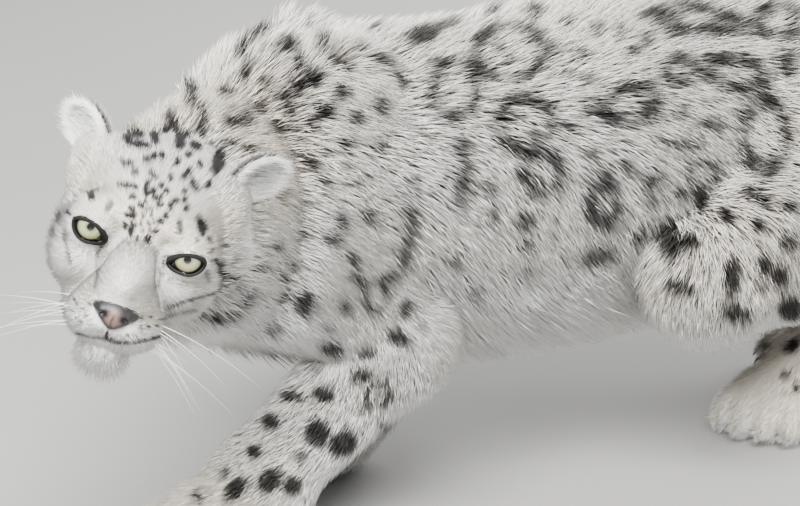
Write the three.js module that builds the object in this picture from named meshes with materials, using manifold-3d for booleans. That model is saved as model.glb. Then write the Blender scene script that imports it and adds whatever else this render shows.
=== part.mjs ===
// A life-size snow leopard in a low stalking walk, head turned to its left, in millimetres.
// It faces -X, its left side is -Y, +Z is up, and its paws stand on Z = 0.
// The body is one smooth distance field of named bars, eggs and stations, meshed once for each
// sub-part at its own fineness and parted with thin cuts. Locks of long coat are fused on after.
import * as THREE from "three";
import { mergeVertices } from "three/addons/utils/BufferGeometryUtils.js";
import Module from "manifold-3d";

const wasm = await Module();
wasm.setup();

// Driving dimensions. All of them are measured to the tips of the coat.
const SIZE = {
  gap: 0.35, // between neighbouring sub-parts
  limbBlend: 34, // fillet where a limb leaves the trunk
  headBlend: 13,
  toeBlend: 7,
  eyeball: 15.2,
  eyeGap: 36.5, // half the distance between the eyes
  lid: 2.4, // thickness of the eyelids
};

// How coarsely each kind of sub-part is meshed
const CELL = { torso: 42, neck: 36, tail: 36, leg: 36, paw: 16, hindPaw: 20, head: 10.8 };

// Trunk stations from chest to rump: distance along X, top, underside, half width.
const TRUNK = [
  { x: -335, top: 318, under: 240, half: 38 },
  { x: -295, top: 362, under: 184, half: 74 },
  { x: -235, top: 418, under: 158, half: 118 },
  { x: -160, top: 424, under: 146, half: 133 },
  { x: -60, top: 421, under: 144, half: 140 },
  { x: 50, top: 428, under: 146, half: 141 },
  { x: 150, top: 436, under: 160, half: 131 },
  { x: 240, top: 440, under: 186, half: 122 },
  { x: 330, top: 430, under: 205, half: 116 },
  { x: 400, top: 402, under: 235, half: 92 },
  { x: 448, top: 362, under: 268, half: 52 },
];

// The neck's bars: nape, back of the head, and throat
const NECK = [
  [[-230, -18, 300, 98], [-294, -62, 318, 66]],
  [[-294, -62, 318, 66], [-342, -124, 322, 58]],
  [[-262, -44, 262, 92], [-338, -124, 280, 72]],
];

const HEAD = {
  eyes: [-414.6, -254.5, 335], // the point half way between the eyes
  turn: 64.2, // degrees to the left of straight ahead
  drop: 3.9, // degrees below level
  roll: 19.8, // degrees, left side down
};

// Limb joints. A paw is given by its middle and the way its toes point.
const LEGS = {
  foreleg_left: {
    side: -1,
    blade: [[-178, -58, 385, 50], [-222, -80, 262, 66]],
    upper: [[-225, -84, 246, 66], [-150, -98, 176, 51]],
    elbow: [-128, -98, 176, 34],
    lower: [[-154, -98, 164, 50], [-260, -86, 62, 42]],
    paw: [-312, -86],
    toes: [-1, -0.12],
    wrist: [[-258, -86, 58, 42], [-300, -86, 38, 36]],
    bend: { at: [-120, -98, 162], down: [-0.02, 0, -1] },
    ankle: { at: [-258, -86, 60], down: [-0.85, 0, -0.53] },
  },
  foreleg_right: {
    side: 1,
    blade: [[-168, 56, 378, 50], [-225, 78, 262, 66]],
    upper: [[-225, 82, 250, 66], [-100, 92, 185, 54]],
    elbow: [-72, 92, 190, 36],
    lower: [[-102, 90, 176, 52], [-118, 48, 66, 40]],
    paw: [-158, 44],
    toes: [-1, 0.05],
    wrist: [[-118, 48, 58, 38], [-146, 45, 38, 35]],
    bend: { at: [-90, 92, 168], down: [0.05, 0, -1] },
    ankle: { at: [-116, 50, 72], down: [-0.3, -0.1, -0.95] },
  },
  hindleg_left: {
    side: -1,
    blade: [[330, -62, 345, 88], [250, -88, 285, 96]],
    upper: [[290, -84, 290, 92], [142, -122, 206, 65]],
    elbow: [131, -124, 198, 52],
    lower: [[152, -118, 194, 53], [368, -58, 142, 33]],
    heel: [386, -54, 142, 26],
    wrist: [[374, -56, 128, 31], [294, -42, 50, 34]],
    paw: [270, -34],
    toes: [-0.82, -0.57],
    bend: { at: [131, -124, 200], down: [-0.08, 0, -1] },
    ankle: { at: [374, -56, 132], down: [0.25, 0, -1] },
  },
  hindleg_right: {
    side: 1,
    blade: [[330, 62, 345, 88], [285, 86, 285, 94]],
    upper: [[300, 84, 290, 90], [236, 114, 200, 64]],
    elbow: [218, 116, 190, 52],
    lower: [[238, 112, 190, 55], [468, 84, 142, 33]],
    heel: [486, 82, 144, 26],
    wrist: [[474, 82, 130, 30], [418, 76, 48, 33]],
    paw: [392, 72],
    toes: [-1, 0.12],
    bend: { at: [218, 116, 196], down: [-0.08, 0, -1] },
    ankle: { at: [474, 82, 134], down: [0.25, 0, -1] },
  },
};

// Where the neck leaves the trunk and the head leaves the neck
const NECK_CUT = { at: [-290, -30, 300], forward: [-0.88, -0.42, 0.25] };
const HEAD_CUT = -108; // along the head's forward axis from between the eyes
const RUFF_CLEAR = 2.5; // between the ruff's locks and the neck behind them

// Places in the head's frame: [left, up, forward] from the point between the eyes
const OPENING = { wide: 29, high: 17, tilt: 8 }; // between the lids
const EAR = {
  root: [54, 26, -74],
  along: [0.52, 0.85, -0.2],
  open: [0.6, -0.1, 0.8],
  radii: [22, 27, 12],
  cup: [0, 19, 8],
  cupRadii: [17.5, 23, 14],
};
const NOSE = { at: [0, -31, 57], radii: [17, 11, 10], nostril: [8.5, -33, 66], pit: [3.8, 2.8, 4.5] };
const MOUTH = [[0, -54, 54], [13, -52, 50], [25, -52, 41], [32, -50, 27], [36, -43, 12]];

// The tail's middle line from the rump to its tip, with its radius there.
const TAIL = [
  [405, 0, 322, 58],
  [470, -2, 268, 54],
  [545, -2, 196, 53],
  [630, 4, 134, 53],
  [728, 16, 98, 54],
  [830, 34, 86, 54],
  [930, 60, 96, 52],
  [1016, 96, 122, 47],
  [1078, 138, 160, 38],
];

// Distance fields: below nought inside, in millimetres near the surface
const mix = (a, b, t) => a + (b - a) * t;

function smoothUnion(a, b, blend) {
  const h = Math.max(blend - Math.abs(a - b), 0) / blend;
  return Math.min(a, b) - (h * h * blend) / 4;
}

function smoothCut(a, b, blend) {
  return -smoothUnion(-a, b, blend);
}

// A bar from [x, y, z, radius] to [x, y, z, radius] with round ends, narrowed across Y by flat
function bar(from, to, flat = 1) {
  const [ax, ay, az, ar] = from;
  const [dx, dy, dz] = [to[0] - ax, (to[1] - ay) / flat, to[2] - az];
  const length2 = dx * dx + dy * dy + dz * dz;
  return (x, y, z) => {
    const [px, py, pz] = [x - ax, (y - ay) / flat, z - az];
    const t = THREE.MathUtils.clamp((px * dx + py * dy + pz * dz) / length2, 0, 1);
    return Math.hypot(px - t * dx, py - t * dy, pz - t * dz) - mix(ar, to[3], t);
  };
}

// An egg shape with three radii along the axes of a frame
function egg(centre, radii, frame = WORLD) {
  const middle = frame.place(centre);
  return (x, y, z) => {
    const [a, b, c] = frame.local(x - middle.x, y - middle.y, z - middle.z);
    const near = Math.hypot(a / radii[0], b / radii[1], c / radii[2]);
    const steep = Math.hypot(a / radii[0] ** 2, b / radii[1] ** 2, c / radii[2] ** 2);
    return steep < 1e-9 ? -Math.min(...radii) : (near * (near - 1)) / steep;
  };
}

// A frame of three axes at an origin, with ways in and out of it
function frameOf(origin, left, forward, up) {
  return {
    origin, left, forward, up,
    place: ([l, f, u]) =>
      origin.clone().addScaledVector(left, l).addScaledVector(forward, f).addScaledVector(up, u),
    local: (x, y, z) => [
      x * left.x + y * left.y + z * left.z,
      x * forward.x + y * forward.y + z * forward.z,
      x * up.x + y * up.y + z * up.z,
    ],
  };
}

const axis = (x, y, z) => new THREE.Vector3(x, y, z);
const WORLD = frameOf(axis(0, 0, 0), axis(1, 0, 0), axis(0, 1, 0), axis(0, 0, 1));

// The head's frame: left, forward and up, turned, dropped and rolled from straight ahead
function headFrame() {
  const [turn, drop, roll] = [HEAD.turn, HEAD.drop, HEAD.roll].map(THREE.MathUtils.degToRad);
  const forward = axis(-Math.cos(turn) * Math.cos(drop), -Math.sin(turn) * Math.cos(drop), -Math.sin(drop));
  const left = axis(0, 0, 1).cross(forward).normalize().applyAxisAngle(forward, -roll);
  const up = forward.clone().cross(left);
  if (up.z < 0) up.negate();
  return frameOf(axis(...HEAD.eyes), left, forward, up);
}
const FACE = headFrame();

// Smooth curve through the trunk's stations
function trunkAt(key, x) {
  const last = TRUNK.length - 1;
  if (x <= TRUNK[0].x) return TRUNK[0][key];
  if (x >= TRUNK[last].x) return TRUNK[last][key];
  const i = TRUNK.findIndex((s) => s.x > x) - 1;
  const at = (n) => TRUNK[THREE.MathUtils.clamp(n, 0, last)];
  const span = at(i + 1).x - at(i).x;
  const slope = (n) => (at(n + 1)[key] - at(n - 1)[key]) / (at(n + 1).x - at(n - 1).x);
  const t = (x - at(i).x) / span;
  const [t2, t3] = [t * t, t * t * t];
  return (
    (2 * t3 - 3 * t2 + 1) * at(i)[key] +
    (t3 - 2 * t2 + t) * span * slope(i) +
    (3 * t2 - 2 * t3) * at(i + 1)[key] +
    (t3 - t2) * span * slope(i + 1)
  );
}

function trunk(x, y, z) {
  const last = TRUNK[TRUNK.length - 1];
  const [top, under, half] = ["top", "under", "half"].map((key) => trunkAt(key, x));
  const [middle, tall] = [(top + under) / 2, (top - under) / 2];
  const ring = (Math.hypot((z - middle) / tall, y / half) - 1) * Math.min(tall, half);
  const past = Math.max(TRUNK[0].x - x, x - last.x);
  return past > 0 ? Math.hypot(Math.max(ring, 0), past * 1.2) + Math.min(ring, 0) * 0.2 : ring;
}

const neckBars = NECK.map((ends) => bar(...ends));

function tailField(x, y, z) {
  let field = Infinity;
  for (const near of tailBars) field = smoothUnion(field, near(x, y, z), 20);
  return field;
}
const tailBars = TAIL.slice(1).map((point, i) => bar(TAIL[i], point));

const joined = (fields, blend) => (x, y, z) => {
  let field = fields[0](x, y, z);
  for (let i = 1; i < fields.length; i++) field = smoothUnion(field, fields[i](x, y, z), blend);
  return field;
};

// A paw: a pad, and four toes in a fan in front of it
function pawField(leg) {
  const point = axis(leg.toes[0], leg.toes[1], 0).normalize();
  const across = axis(0, 0, 1).cross(point);
  const frame = frameOf(axis(leg.paw[0], leg.paw[1], 0), across, point, axis(0, 0, 1));
  const toes = [-33, -12, 12, 33].map((side) =>
    egg([side, 40 - Math.abs(side) * 0.42, 22], [15.5, 29, 23], frame),
  );
  const pad = egg([0, -2, 30], [45, 50, 32], frame);
  return (x, y, z) => {
    let field = pad(x, y, z);
    let fan = toes[0](x, y, z);
    for (const toe of toes.slice(1)) fan = smoothUnion(fan, toe(x, y, z), SIZE.toeBlend);
    return smoothUnion(field, fan, 14);
  };
}

// A leg as its blade or haunch, upper and lower lengths, and foot
function legFields(leg) {
  const haunch = joined([bar(...leg.blade, 0.72)], 1);
  const upper = joined([bar(...leg.upper, 0.85), bar(leg.elbow, leg.elbow.with(0, leg.elbow[0] + 1))], 22);
  const lower = joined(
    [bar(...leg.lower), ...(leg.heel ? [bar(leg.lower[1], leg.heel)] : [])], 14);
  const foot = joined([bar(...leg.wrist), pawField(leg)], 22);
  return { haunch, upper, lower, foot };
}

const legParts = Object.fromEntries(Object.entries(LEGS).map(([name, leg]) => [name, legFields(leg)]));

// The head in its own frame: skull, brow, cheeks, muzzle and chin
const facePlaces = {
  skull: egg([2, -60, 4], [64, 64, 50], FACE),
  crown: egg([0, -40, 22], [48, 42, 31], FACE),
  bridge: egg([0, 24, -10], [18, 42, 19], FACE),
  muzzle: egg([0, 26, -38], [30, 36, 27], FACE),
  nose: egg([0, 50, -29], [16, 13, 12], FACE),
  jaw: egg([0, -10, -60], [42, 46, 24], FACE),
  chin: egg([0, 33, -72], [20, 20, 15], FACE),
  nearRuff: egg([52, -62, -18], [27, 34, 40], FACE),
  farRuff: egg([-36, -64, -24], [23, 32, 38], FACE),
};
const facePairs = [
  { centre: [38, -32, -26], radii: [32, 40, 38] }, // cheek
  { centre: [30, -6, 16], radii: [22, 11, 9] }, // brow
  { centre: [46, -62, 22], radii: [24, 30, 27] }, // temple
  { centre: [17, 38, -47], radii: [19, 22, 16] }, // whisker pad
];
const faceEggs = [
  ...Object.values(facePlaces),
  ...facePairs.flatMap(({ centre: [l, f, u], radii }) =>
    [1, -1].map((side) => egg([l * side, f, u], radii, FACE)),
  ),
];
const EYE = [SIZE.eyeGap, -6, 0]; // middle of the left eyeball in the head's frame
const sockets = [1, -1].map((side) => egg([EYE[0] * side, 7, 0], [17, 13, 11], FACE));

function headField(x, y, z) {
  let field = Infinity;
  for (const shape of faceEggs) field = smoothUnion(field, shape(x, y, z), SIZE.headBlend);
  for (const socket of sockets) field = smoothCut(field, socket(x, y, z), 8);
  return field;
}

const neckField = joined(neckBars, 30);

// The trunk, neck and tail with the haunches
function coreField(x, y, z) {
  let field = trunk(x, y, z);
  field = smoothUnion(field, neckField(x, y, z), 40);
  field = smoothUnion(field, tailField(x, y, z), 40);
  for (const leg of Object.values(legParts)) field = smoothUnion(field, thigh(leg, x, y, z), SIZE.limbBlend);
  return field;
}
const thigh = (leg, x, y, z) => smoothUnion(leg.haunch(x, y, z), leg.upper(x, y, z), 34);

function bodyField(x, y, z) {
  let field = coreField(x, y, z);
  for (const leg of Object.values(legParts)) {
    let limb = smoothUnion(thigh(leg, x, y, z), leg.lower(x, y, z), 24);
    limb = smoothUnion(limb, leg.foot(x, y, z), 20);
    field = smoothUnion(field, limb, SIZE.limbBlend);
  }
  return smoothUnion(field, headField(x, y, z), 22);
}

// The corners, edges and faces of a grid cell. An edge has an axis and a corner that it starts at.
const CORNERS = [0, 1, 2, 3, 4, 5, 6, 7].map((n) => [n & 1, (n >> 1) & 1, n >> 2]);
const EDGES = [0, 1, 2].flatMap((along) =>
  CORNERS.filter((corner) => !corner[along]).map((start) => ({ along, start })),
);
const cornerId = (c) => c[0] + 2 * c[1] + 4 * c[2];
const edgeBetween = (p, q) => {
  const along = p.findIndex((v, i) => v !== q[i]);
  const start = p[along] ? q : p;
  return EDGES.findIndex((e) => e.along === along && e.start.every((v, i) => v === start[i]));
};
const FACES = [0, 1, 2].flatMap((normal) =>
  [0, 1].map((side) => {
    const [u, v] = [(normal + 1) % 3, (normal + 2) % 3];
    const ring = [[0, 0], [1, 0], [1, 1], [0, 1]].map(([a, b]) => {
      const corner = [0, 0, 0];
      [corner[normal], corner[u], corner[v]] = [side, a, b];
      return corner;
    });
    return {
      corners: ring.map(cornerId),
      edges: ring.map((corner, i) => edgeBetween(corner, ring[(i + 1) % 4])),
    };
  }),
);

// The loops in which a surface crosses one cell, each as a list of crossed edges
function loopsOf(inside) {
  const loop = EDGES.map((_, i) => i);
  const root = (i) => (loop[i] === i ? i : root(loop[i]));
  for (const { corners, edges } of FACES) {
    const crossed = edges.filter((_, i) => inside[corners[i]] !== inside[corners[(i + 1) % 4]]);
    if (crossed.length === 2) loop[root(crossed[0])] = root(crossed[1]);
    if (crossed.length === 4)
      corners.forEach((corner, i) => {
        if (inside[corner]) loop[root(edges[(i + 3) % 4])] = root(edges[i]);
      });
  }
  const loops = new Map();
  EDGES.forEach(({ along, start }, i) => {
    const end = start.with(along, 1);
    if (inside[cornerId(start)] === inside[cornerId(end)]) return;
    loops.set(root(i), [...(loops.get(root(i)) ?? []), i]);
  });
  return [...loops.values()];
}

// A closed mesh of a field inside a box: one vertex for each loop in which the surface crosses
// a cell, moved on to the surface, and one quad round each grid edge that it crosses
function meshField(field, low, high, cell) {
  const [nx, ny, nz] = low.map((v, i) => Math.ceil((high[i] - v) / cell[i]) + 1);
  const at = (i, j, k) => (i * ny + j) * nz + k;
  const value = new Float64Array(nx * ny * nz);
  for (let i = 0; i < nx; i++)
    for (let j = 0; j < ny; j++)
      for (let k = 0; k < nz; k++) {
        const rim = !i || !j || !k || i === nx - 1 || j === ny - 1 || k === nz - 1;
        const v = field(low[0] + i * cell[0], low[1] + j * cell[1], low[2] + k * cell[2]);
        value[at(i, j, k)] = rim ? Math.max(v, 0.5 * cell[0]) : v || 1e-6;
      }
  const vertexOn = new Map();
  const points = [];
  for (let i = 0; i < nx - 1; i++)
    for (let j = 0; j < ny - 1; j++)
      for (let k = 0; k < nz - 1; k++) {
        const v = CORNERS.map(([a, b, c]) => value[at(i + a, j + b, k + c)]);
        const inside = v.map((n) => n < 0);
        if (inside.every((n) => n === inside[0])) continue;
        for (const loop of loopsOf(inside)) {
          const sum = [i, j, k].map((n) => n * loop.length);
          for (const id of loop) {
            const { along, start } = EDGES[id];
            const [v0, v1] = [v[cornerId(start)], v[cornerId(start.with(along, 1))]];
            for (const n of [0, 1, 2]) sum[n] += n === along ? v0 / (v0 - v1) : start[n];
            vertexOn.set(at(i, j, k) * 12 + id, points.length / 3);
          }
          const point = sum.map((n, d) => low[d] + (n / loop.length) * cell[d]);
          points.push(...ontoSurface(field, point, Math.min(...cell) * 0.45));
        }
      }
  const faces = [];
  for (let i = 0; i < nx - 1; i++)
    for (let j = 0; j < ny - 1; j++)
      for (let k = 0; k < nz - 1; k++) {
        const here = value[at(i, j, k)] < 0;
        for (const along of [0, 1, 2]) {
          const step = [0, 0, 0].with(along, 1);
          if (here === value[at(i + step[0], j + step[1], k + step[2])] < 0) continue;
          const [u, v] = [(along + 1) % 3, (along + 2) % 3];
          const ring = [[0, 0], [1, 0], [1, 1], [0, 1]].map(([a, b]) => {
            const start = [0, 0, 0];
            [start[u], start[v]] = [a, b];
            const id = edgeBetween(start, start.with(along, 1));
            return vertexOn.get(at(i - start[0], j - start[1], k - start[2]) * 12 + id);
          });
          const [p, q, r, s] = here ? ring : ring.reverse();
          faces.push(p, q, r, p, r, s);
        }
      }
  return new THREE.BufferGeometry()
    .setAttribute("position", new THREE.BufferAttribute(new Float32Array(points), 3))
    .setIndex(faces);
}

// Slides a point down the field's slope to the surface, by at most so much along each axis
function ontoSurface(field, point, most) {
  let p = point;
  for (let step = 0; step < 3; step++) {
    const [x, y, z] = p;
    const v = field(x, y, z);
    const slope = [
      field(x + 0.5, y, z) - field(x - 0.5, y, z),
      field(x, y + 0.5, z) - field(x, y - 0.5, z),
      field(x, y, z + 0.5) - field(x, y, z - 0.5),
    ];
    const steep = slope.reduce((s, g) => s + g * g, 0);
    if (steep < 1e-6) return p;
    const moved = p.map((c, i) => c - (v * slope[i]) / steep);
    if (moved.some((c, i) => Math.abs(c - point[i]) > most)) return p;
    p = moved;
  }
  return p;
}

// Solids for joining and cutting
function solidOf(geometry, matrix) {
  const bare = geometry.clone();
  for (const name of Object.keys(bare.attributes)) if (name !== "position") bare.deleteAttribute(name);
  const merged = mergeVertices(bare, 1e-4);
  if (matrix) merged.applyMatrix4(matrix);
  return new wasm.Manifold(
    new wasm.Mesh({
      numProp: 3,
      vertProperties: new Float32Array(merged.attributes.position.array),
      triVerts: new Uint32Array(merged.index.array),
    }),
  );
}

function geometryOf(solid) {
  const mesh = solid.getMesh();
  return new THREE.BufferGeometry()
    .setAttribute("position", new THREE.BufferAttribute(mesh.vertProperties.slice(), 3))
    .setIndex(new THREE.BufferAttribute(mesh.triVerts.slice(), 1));
}

// The one closed body that is kept of a sub-part
const largest = (solid) => solid.decompose().sort((a, b) => b.volume() - a.volume())[0];

// Cutting tools. A half space is a large block whose one face is the cut.
const REACH = 3000;

function beyond(point, normal, shift = 0) {
  const block = new THREE.BoxGeometry(REACH, REACH, REACH).translate(0, 0, REACH / 2 + shift);
  const turn = new THREE.Quaternion().setFromUnitVectors(axis(0, 0, 1), axis(...normal).normalize());
  return solidOf(block.applyQuaternion(turn).translate(...point));
}

// A bar with round ends as a solid, grown by so much all round
function barSolid(from, to, grow, sides = 12) {
  const [a, b] = [from, to].map((end) => axis(...end.slice(0, 3)));
  const [ra, rb] = [from[3] + grow, to[3] + grow];
  const long = a.distanceTo(b);
  const ends = [-90, -55, -15, 15, 55, 90].map((angle) => {
    const [c, s] = [Math.cos, Math.sin].map((f) => f(THREE.MathUtils.degToRad(angle)));
    const radius = angle < 0 ? ra : rb;
    return new THREE.Vector2(Math.abs(angle) === 90 ? 0 : radius * c, (angle < 0 ? 0 : long) + radius * s);
  });
  const turn = new THREE.Quaternion().setFromUnitVectors(axis(0, 1, 0), b.clone().sub(a).normalize());
  return solidOf(new THREE.LatheGeometry(ends, sides).applyQuaternion(turn).translate(a.x, a.y, a.z));
}

// Locks of long coat. Sizes are long, wide and thick, then how far the root is sunk.
const LOCK = {
  belly: { long: 60, wide: 50, thick: 10, sink: 11 },
  ruff: { long: 42, wide: 38, thick: 8, sink: 9 },
  throat: { long: 52, wide: 44, thick: 9, sink: 10 },
  elbow: { long: 40, wide: 34, thick: 8, sink: 9 },
  thigh: { long: 48, wide: 40, thick: 9, sink: 10 },
  tail: { long: 62, wide: 42, thick: 9, sink: 10 },
};

const LOCK_ROOM = 2; // left round a lock that lies over another sub-part

// Seeded draws, so that the locks vary as real ones do and come out alike each time
let seed = 20;
function draw(low, high) {
  seed = (seed * 16807) % 2147483647;
  return mix(low, high, seed / 2147483647);
}

// The point where a ray from inside a field leaves it, and the way out there
function leave(field, from, way) {
  const step = way.clone().normalize();
  const p = from.clone();
  for (let i = 0; i < 60; i++) p.addScaledVector(step, Math.max(-field(p.x, p.y, p.z), 0.2) * 0.8);
  const out = axis(
    field(p.x + 1, p.y, p.z) - field(p.x - 1, p.y, p.z),
    field(p.x, p.y + 1, p.z) - field(p.x, p.y - 1, p.z),
    field(p.x, p.y, p.z + 1) - field(p.x, p.y, p.z - 1),
  ).normalize();
  return { root: p, out };
}

// One lock: a flat blade of four-cornered sections along a bent line, down to a single tip
function lock({ root, out }, lie, size) {
  const long = size.long * draw(0.8, 1.2);
  const wide = size.wide * draw(0.85, 1.15);
  const along = lie.clone().addScaledVector(out, -0.75 * lie.dot(out)).normalize();
  along.applyAxisAngle(out, draw(-0.22, 0.22));
  const across = along.clone().cross(out).normalize();
  const bend = lie.clone().multiplyScalar(draw(0.05, 0.25) * long);
  const blade = (grow) => {
    const points = [];
    for (const [t, w] of [[0, 0.75], [0.4, 1], [0.75, 0.62]]) {
      const centre = root.clone()
        .addScaledVector(along, (t - 0.22) * long - (t ? 0 : grow))
        .addScaledVector(out, -size.sink * (1 - 1.6 * t))
        .addScaledVector(bend, t * t);
      const [half, deep] = [(w * wide) / 2 + grow, (size.thick * (1 - 0.6 * t)) / 2 + grow];
      for (const [a, o] of [[-half, 0], [0, -deep], [half, 0], [0, deep]])
        points.push(centre.clone().addScaledVector(across, a).addScaledVector(out, o));
    }
    const tip = root.clone().addScaledVector(along, 0.8 * long + 3 * grow);
    points.push(tip.addScaledVector(out, size.sink * 0.35).add(bend));
    return solidOf(
      new THREE.BufferGeometry()
        .setAttribute("position", new THREE.Float32BufferAttribute(points.flatMap((p) => p.toArray()), 3))
        .setIndex(BLADE_FACES),
    );
  };
  return { solid: blade(0), room: blade(LOCK_ROOM) };
}

// The triangles of a blade with rings of corners at 0, 4 and 8 and its tip at 12
const BLADE_FACES = [
  [0, 1, 2], [0, 2, 3],
  ...[0, 4].flatMap((ring) =>
    [0, 1, 2, 3].flatMap((i) => {
      const j = (i + 1) % 4;
      return [[ring + i, ring + 4 + i, ring + 4 + j], [ring + i, ring + 4 + j, ring + j]];
    }),
  ),
  ...[0, 1, 2, 3].map((i) => [8 + i, 12, 8 + ((i + 1) % 4)]),
].flat();

const addLocks = (core, locks) => locks.reduce((sum, { solid }) => sum.add(solid), core);
const makeRoom = (core, locks) => locks.reduce((rest, { room }) => rest.subtract(room), core);

const group = new THREE.Group();
const nodes = {};
const meshOf = (field, low, high, cell) => solidOf(meshField(field, low, high, [cell, cell, cell]));
const around = ([x, y, z], [dx, dy, dz]) => [[x - dx, y - dy, z - dz], [x + dx, y + dy, z + dz]];
const floor = (shift = 0) => beyond([0, 0, 0], [0, 0, 1], shift);

// Legs: a cutter follows each limb's bars, and keeps the haunch to its own side of the body
const LIMB = { grow: 18, inner: 42 };
const limbCutters = Object.values(LEGS).map((leg) => {
  const side = (shift) => beyond([0, LIMB.inner * leg.side, 0], [0, leg.side, 0], shift);
  const bars = (ends, grow) => ends.map((end) => barSolid(...end, LIMB.grow + grow, 8));
  return (grow) => {
    const [blade, upper] = bars([leg.blade, leg.upper], grow);
    const haunch = blade.add(upper).intersect(side(-grow));
    return bars([leg.lower, leg.wrist], grow).reduce((sum, bar) => sum.add(bar), haunch);
  };
});

const feet = Object.values(legParts).map(({ lower, foot }) => joined([lower, foot], 20));

// Fringes: rows of locks that hang from the underside, the rear of the elbows, the chest and throat
const LEG_CLEAR = 6; // from a leg to the nearest of the belly's locks
const nearLeg = (p, space) => Object.values(legParts).some((leg) => leg.upper(p.x, p.y, p.z) < space);
const row = (count, each) => Array.from({ length: count }, (_, i) => each((i + 0.5) / count, i));
const spotFrom = (field, from, way) => leave(field, axis(...from), axis(...way));
const hanging = (spot, lie, kind) => lock(spot, axis(...lie), LOCK[kind]);

const bellyLocks = [-1.08, -0.6, 0.6, 1.08].flatMap((angle, i) =>
  row(9, (t) => {
    const x = mix(-180, 270, t + 0.045 * (i % 2)) + draw(-6, 6);
    const from = [x, 0, (trunkAt("top", x) + trunkAt("under", x)) / 2];
    const spot = spotFrom(coreField, from, [0, Math.sin(angle), -Math.cos(angle)]);
    return nearLeg(spot.root, LEG_CLEAR) ? null : hanging(spot, [0.3, 0, -0.95], "belly");
  }),
).filter(Boolean);
const chestLocks = row(6, (t, i) => {
  const way = [-0.75, mix(-0.5, 0.5, t), -0.9 + 0.4 * (i % 2)];
  return hanging(spotFrom(coreField, [-262, mix(-34, 34, t), 270], way), [0.45, 0, -0.9], "throat");
});
const throatLocks = [0, 1].flatMap((side) =>
  row(4, (t) => {
    const [[ax, ay, az], [bx, by, bz]] = NECK[2].map((end) => end.slice(0, 3));
    const from = [mix(ax, bx, t), mix(ay, by, t), mix(az, bz, t)];
    const spot = spotFrom(neckField, from, [0.7 - 1.4 * side, -0.45 + 0.9 * side, -0.75]);
    return hanging(spot, [0.45, 0.3, -0.85], "throat");
  }),
);
// A foreleg's locks are behind its elbow, and a hind leg's behind its thigh and under its shank
function fringesOf(leg, { haunch, upper, lower }) {
  const shank = (t) => [0, 1, 2].map((n) => mix(leg.lower[0][n], leg.lower[1][n], t));
  const outward = 0.7 * leg.side;
  if (leg.heel) {
    const breech = [leg.blade[0][0], leg.side * 74, 300];
    return {
      upper: row(4, (t) => {
        const spot = spotFrom(haunch, breech, [0.8, 0.6 * leg.side, mix(-0.8, 0.2, t)]);
        return hanging(spot, [0.45, 0, -0.9], "thigh");
      }),
      lower: row(4, (t) => {
        const spot = spotFrom(lower, shank(mix(0.02, 0.62, t)), [0, outward, -0.7]);
        return hanging(spot, [0.7, 0, -0.7], "thigh");
      }),
    };
  }
  const [x, y, z] = leg.elbow;
  return {
    upper: row(4, (t) => {
      const spot = spotFrom(upper, [x, y, z + mix(0, 48, t)], [0.75, outward, 0.1]);
      return hanging(spot, [0.65, 0, -0.75], "elbow");
    }),
    lower: row(2, (t) => {
      const spot = spotFrom(lower, shank(0.25 * t), [0.75, outward, -0.2]);
      return hanging(spot, [0.8, 0, -0.6], "elbow");
    }),
  };
}
const ruffLocks = [1, -1].flatMap((side) =>
  row(5, (t) => {
    const angle = mix(0.5, -1.2, t);
    const from = FACE.place([20 * side, -62, -16]);
    const way = FACE.place([Math.cos(angle) * side, -0.15, Math.sin(angle)]).sub(FACE.origin);
    const lie = FACE.place([0.6 * side, -0.75, Math.sin(angle) * 0.5 - 0.2]).sub(FACE.origin);
    return lock(leave(headField, from, way), lie, LOCK.ruff);
  }),
);
const tipLocks = row(6, (t) => {
  const [end, before] = [TAIL.at(-1), TAIL.at(-2)].map((p) => axis(...p.slice(0, 3)));
  const lie = end.clone().sub(before).normalize();
  const side = axis(0, 0, 1).cross(lie).applyAxisAngle(lie, t * Math.PI * 2);
  return lock(leave(tailField, end.lerp(before, 0.35), side), lie.addScaledVector(side, -0.2), LOCK.tail);
});

const fringes = Object.entries(LEGS).map(([name, leg]) => fringesOf(leg, legParts[name]));
Object.entries(LEGS).forEach(([name, leg], i) => {
  const { bend, ankle } = leg;
  const xs = [...leg.blade, ...leg.lower].map((end) => end[0]);
  const box = [
    [Math.min(...xs) - 115, Math.min(leg.side * 225, 0), -40],
    [Math.max(...xs) + 115, Math.max(leg.side * 225, 0), 480],
  ];
  const limb = meshOf(bodyField, ...box, CELL.leg).intersect(limbCutters[i](0)).intersect(floor());
  nodes[`${name}_upper`] = addLocks(limb, fringes[i].upper).subtract(beyond(bend.at, bend.down, -SIZE.gap));
  nodes[`${name}_lower`] = addLocks(limb, fringes[i].lower)
    .intersect(beyond(bend.at, bend.down))
    .subtract(beyond(ankle.at, ankle.down, -SIZE.gap));
  const paw = around([...leg.paw, 50], [190, 95, 90]);
  nodes[`${name}_paw`] = meshOf(feet[i], ...paw, leg.heel ? CELL.hindPaw : CELL.paw)
    .intersect(beyond(ankle.at, ankle.down))
    .intersect(floor());
});

const neckSide = (shift) => beyond(NECK_CUT.at, NECK_CUT.forward, shift);
const headSide = (shift) =>
  beyond(FACE.place([0, HEAD_CUT, 0]).toArray(), FACE.forward.toArray(), shift);
const alongTail = (n, shift) => {
  const [before, here, after] = [-1, 0, 1].map((d) => axis(...TAIL[Math.max(0, n + d)].slice(0, 3)));
  return beyond(here.toArray(), after.sub(before).toArray(), shift);
};
const limbs = limbCutters.map((cutter) => cutter(SIZE.gap)).reduce((a, b) => a.add(b));

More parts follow.
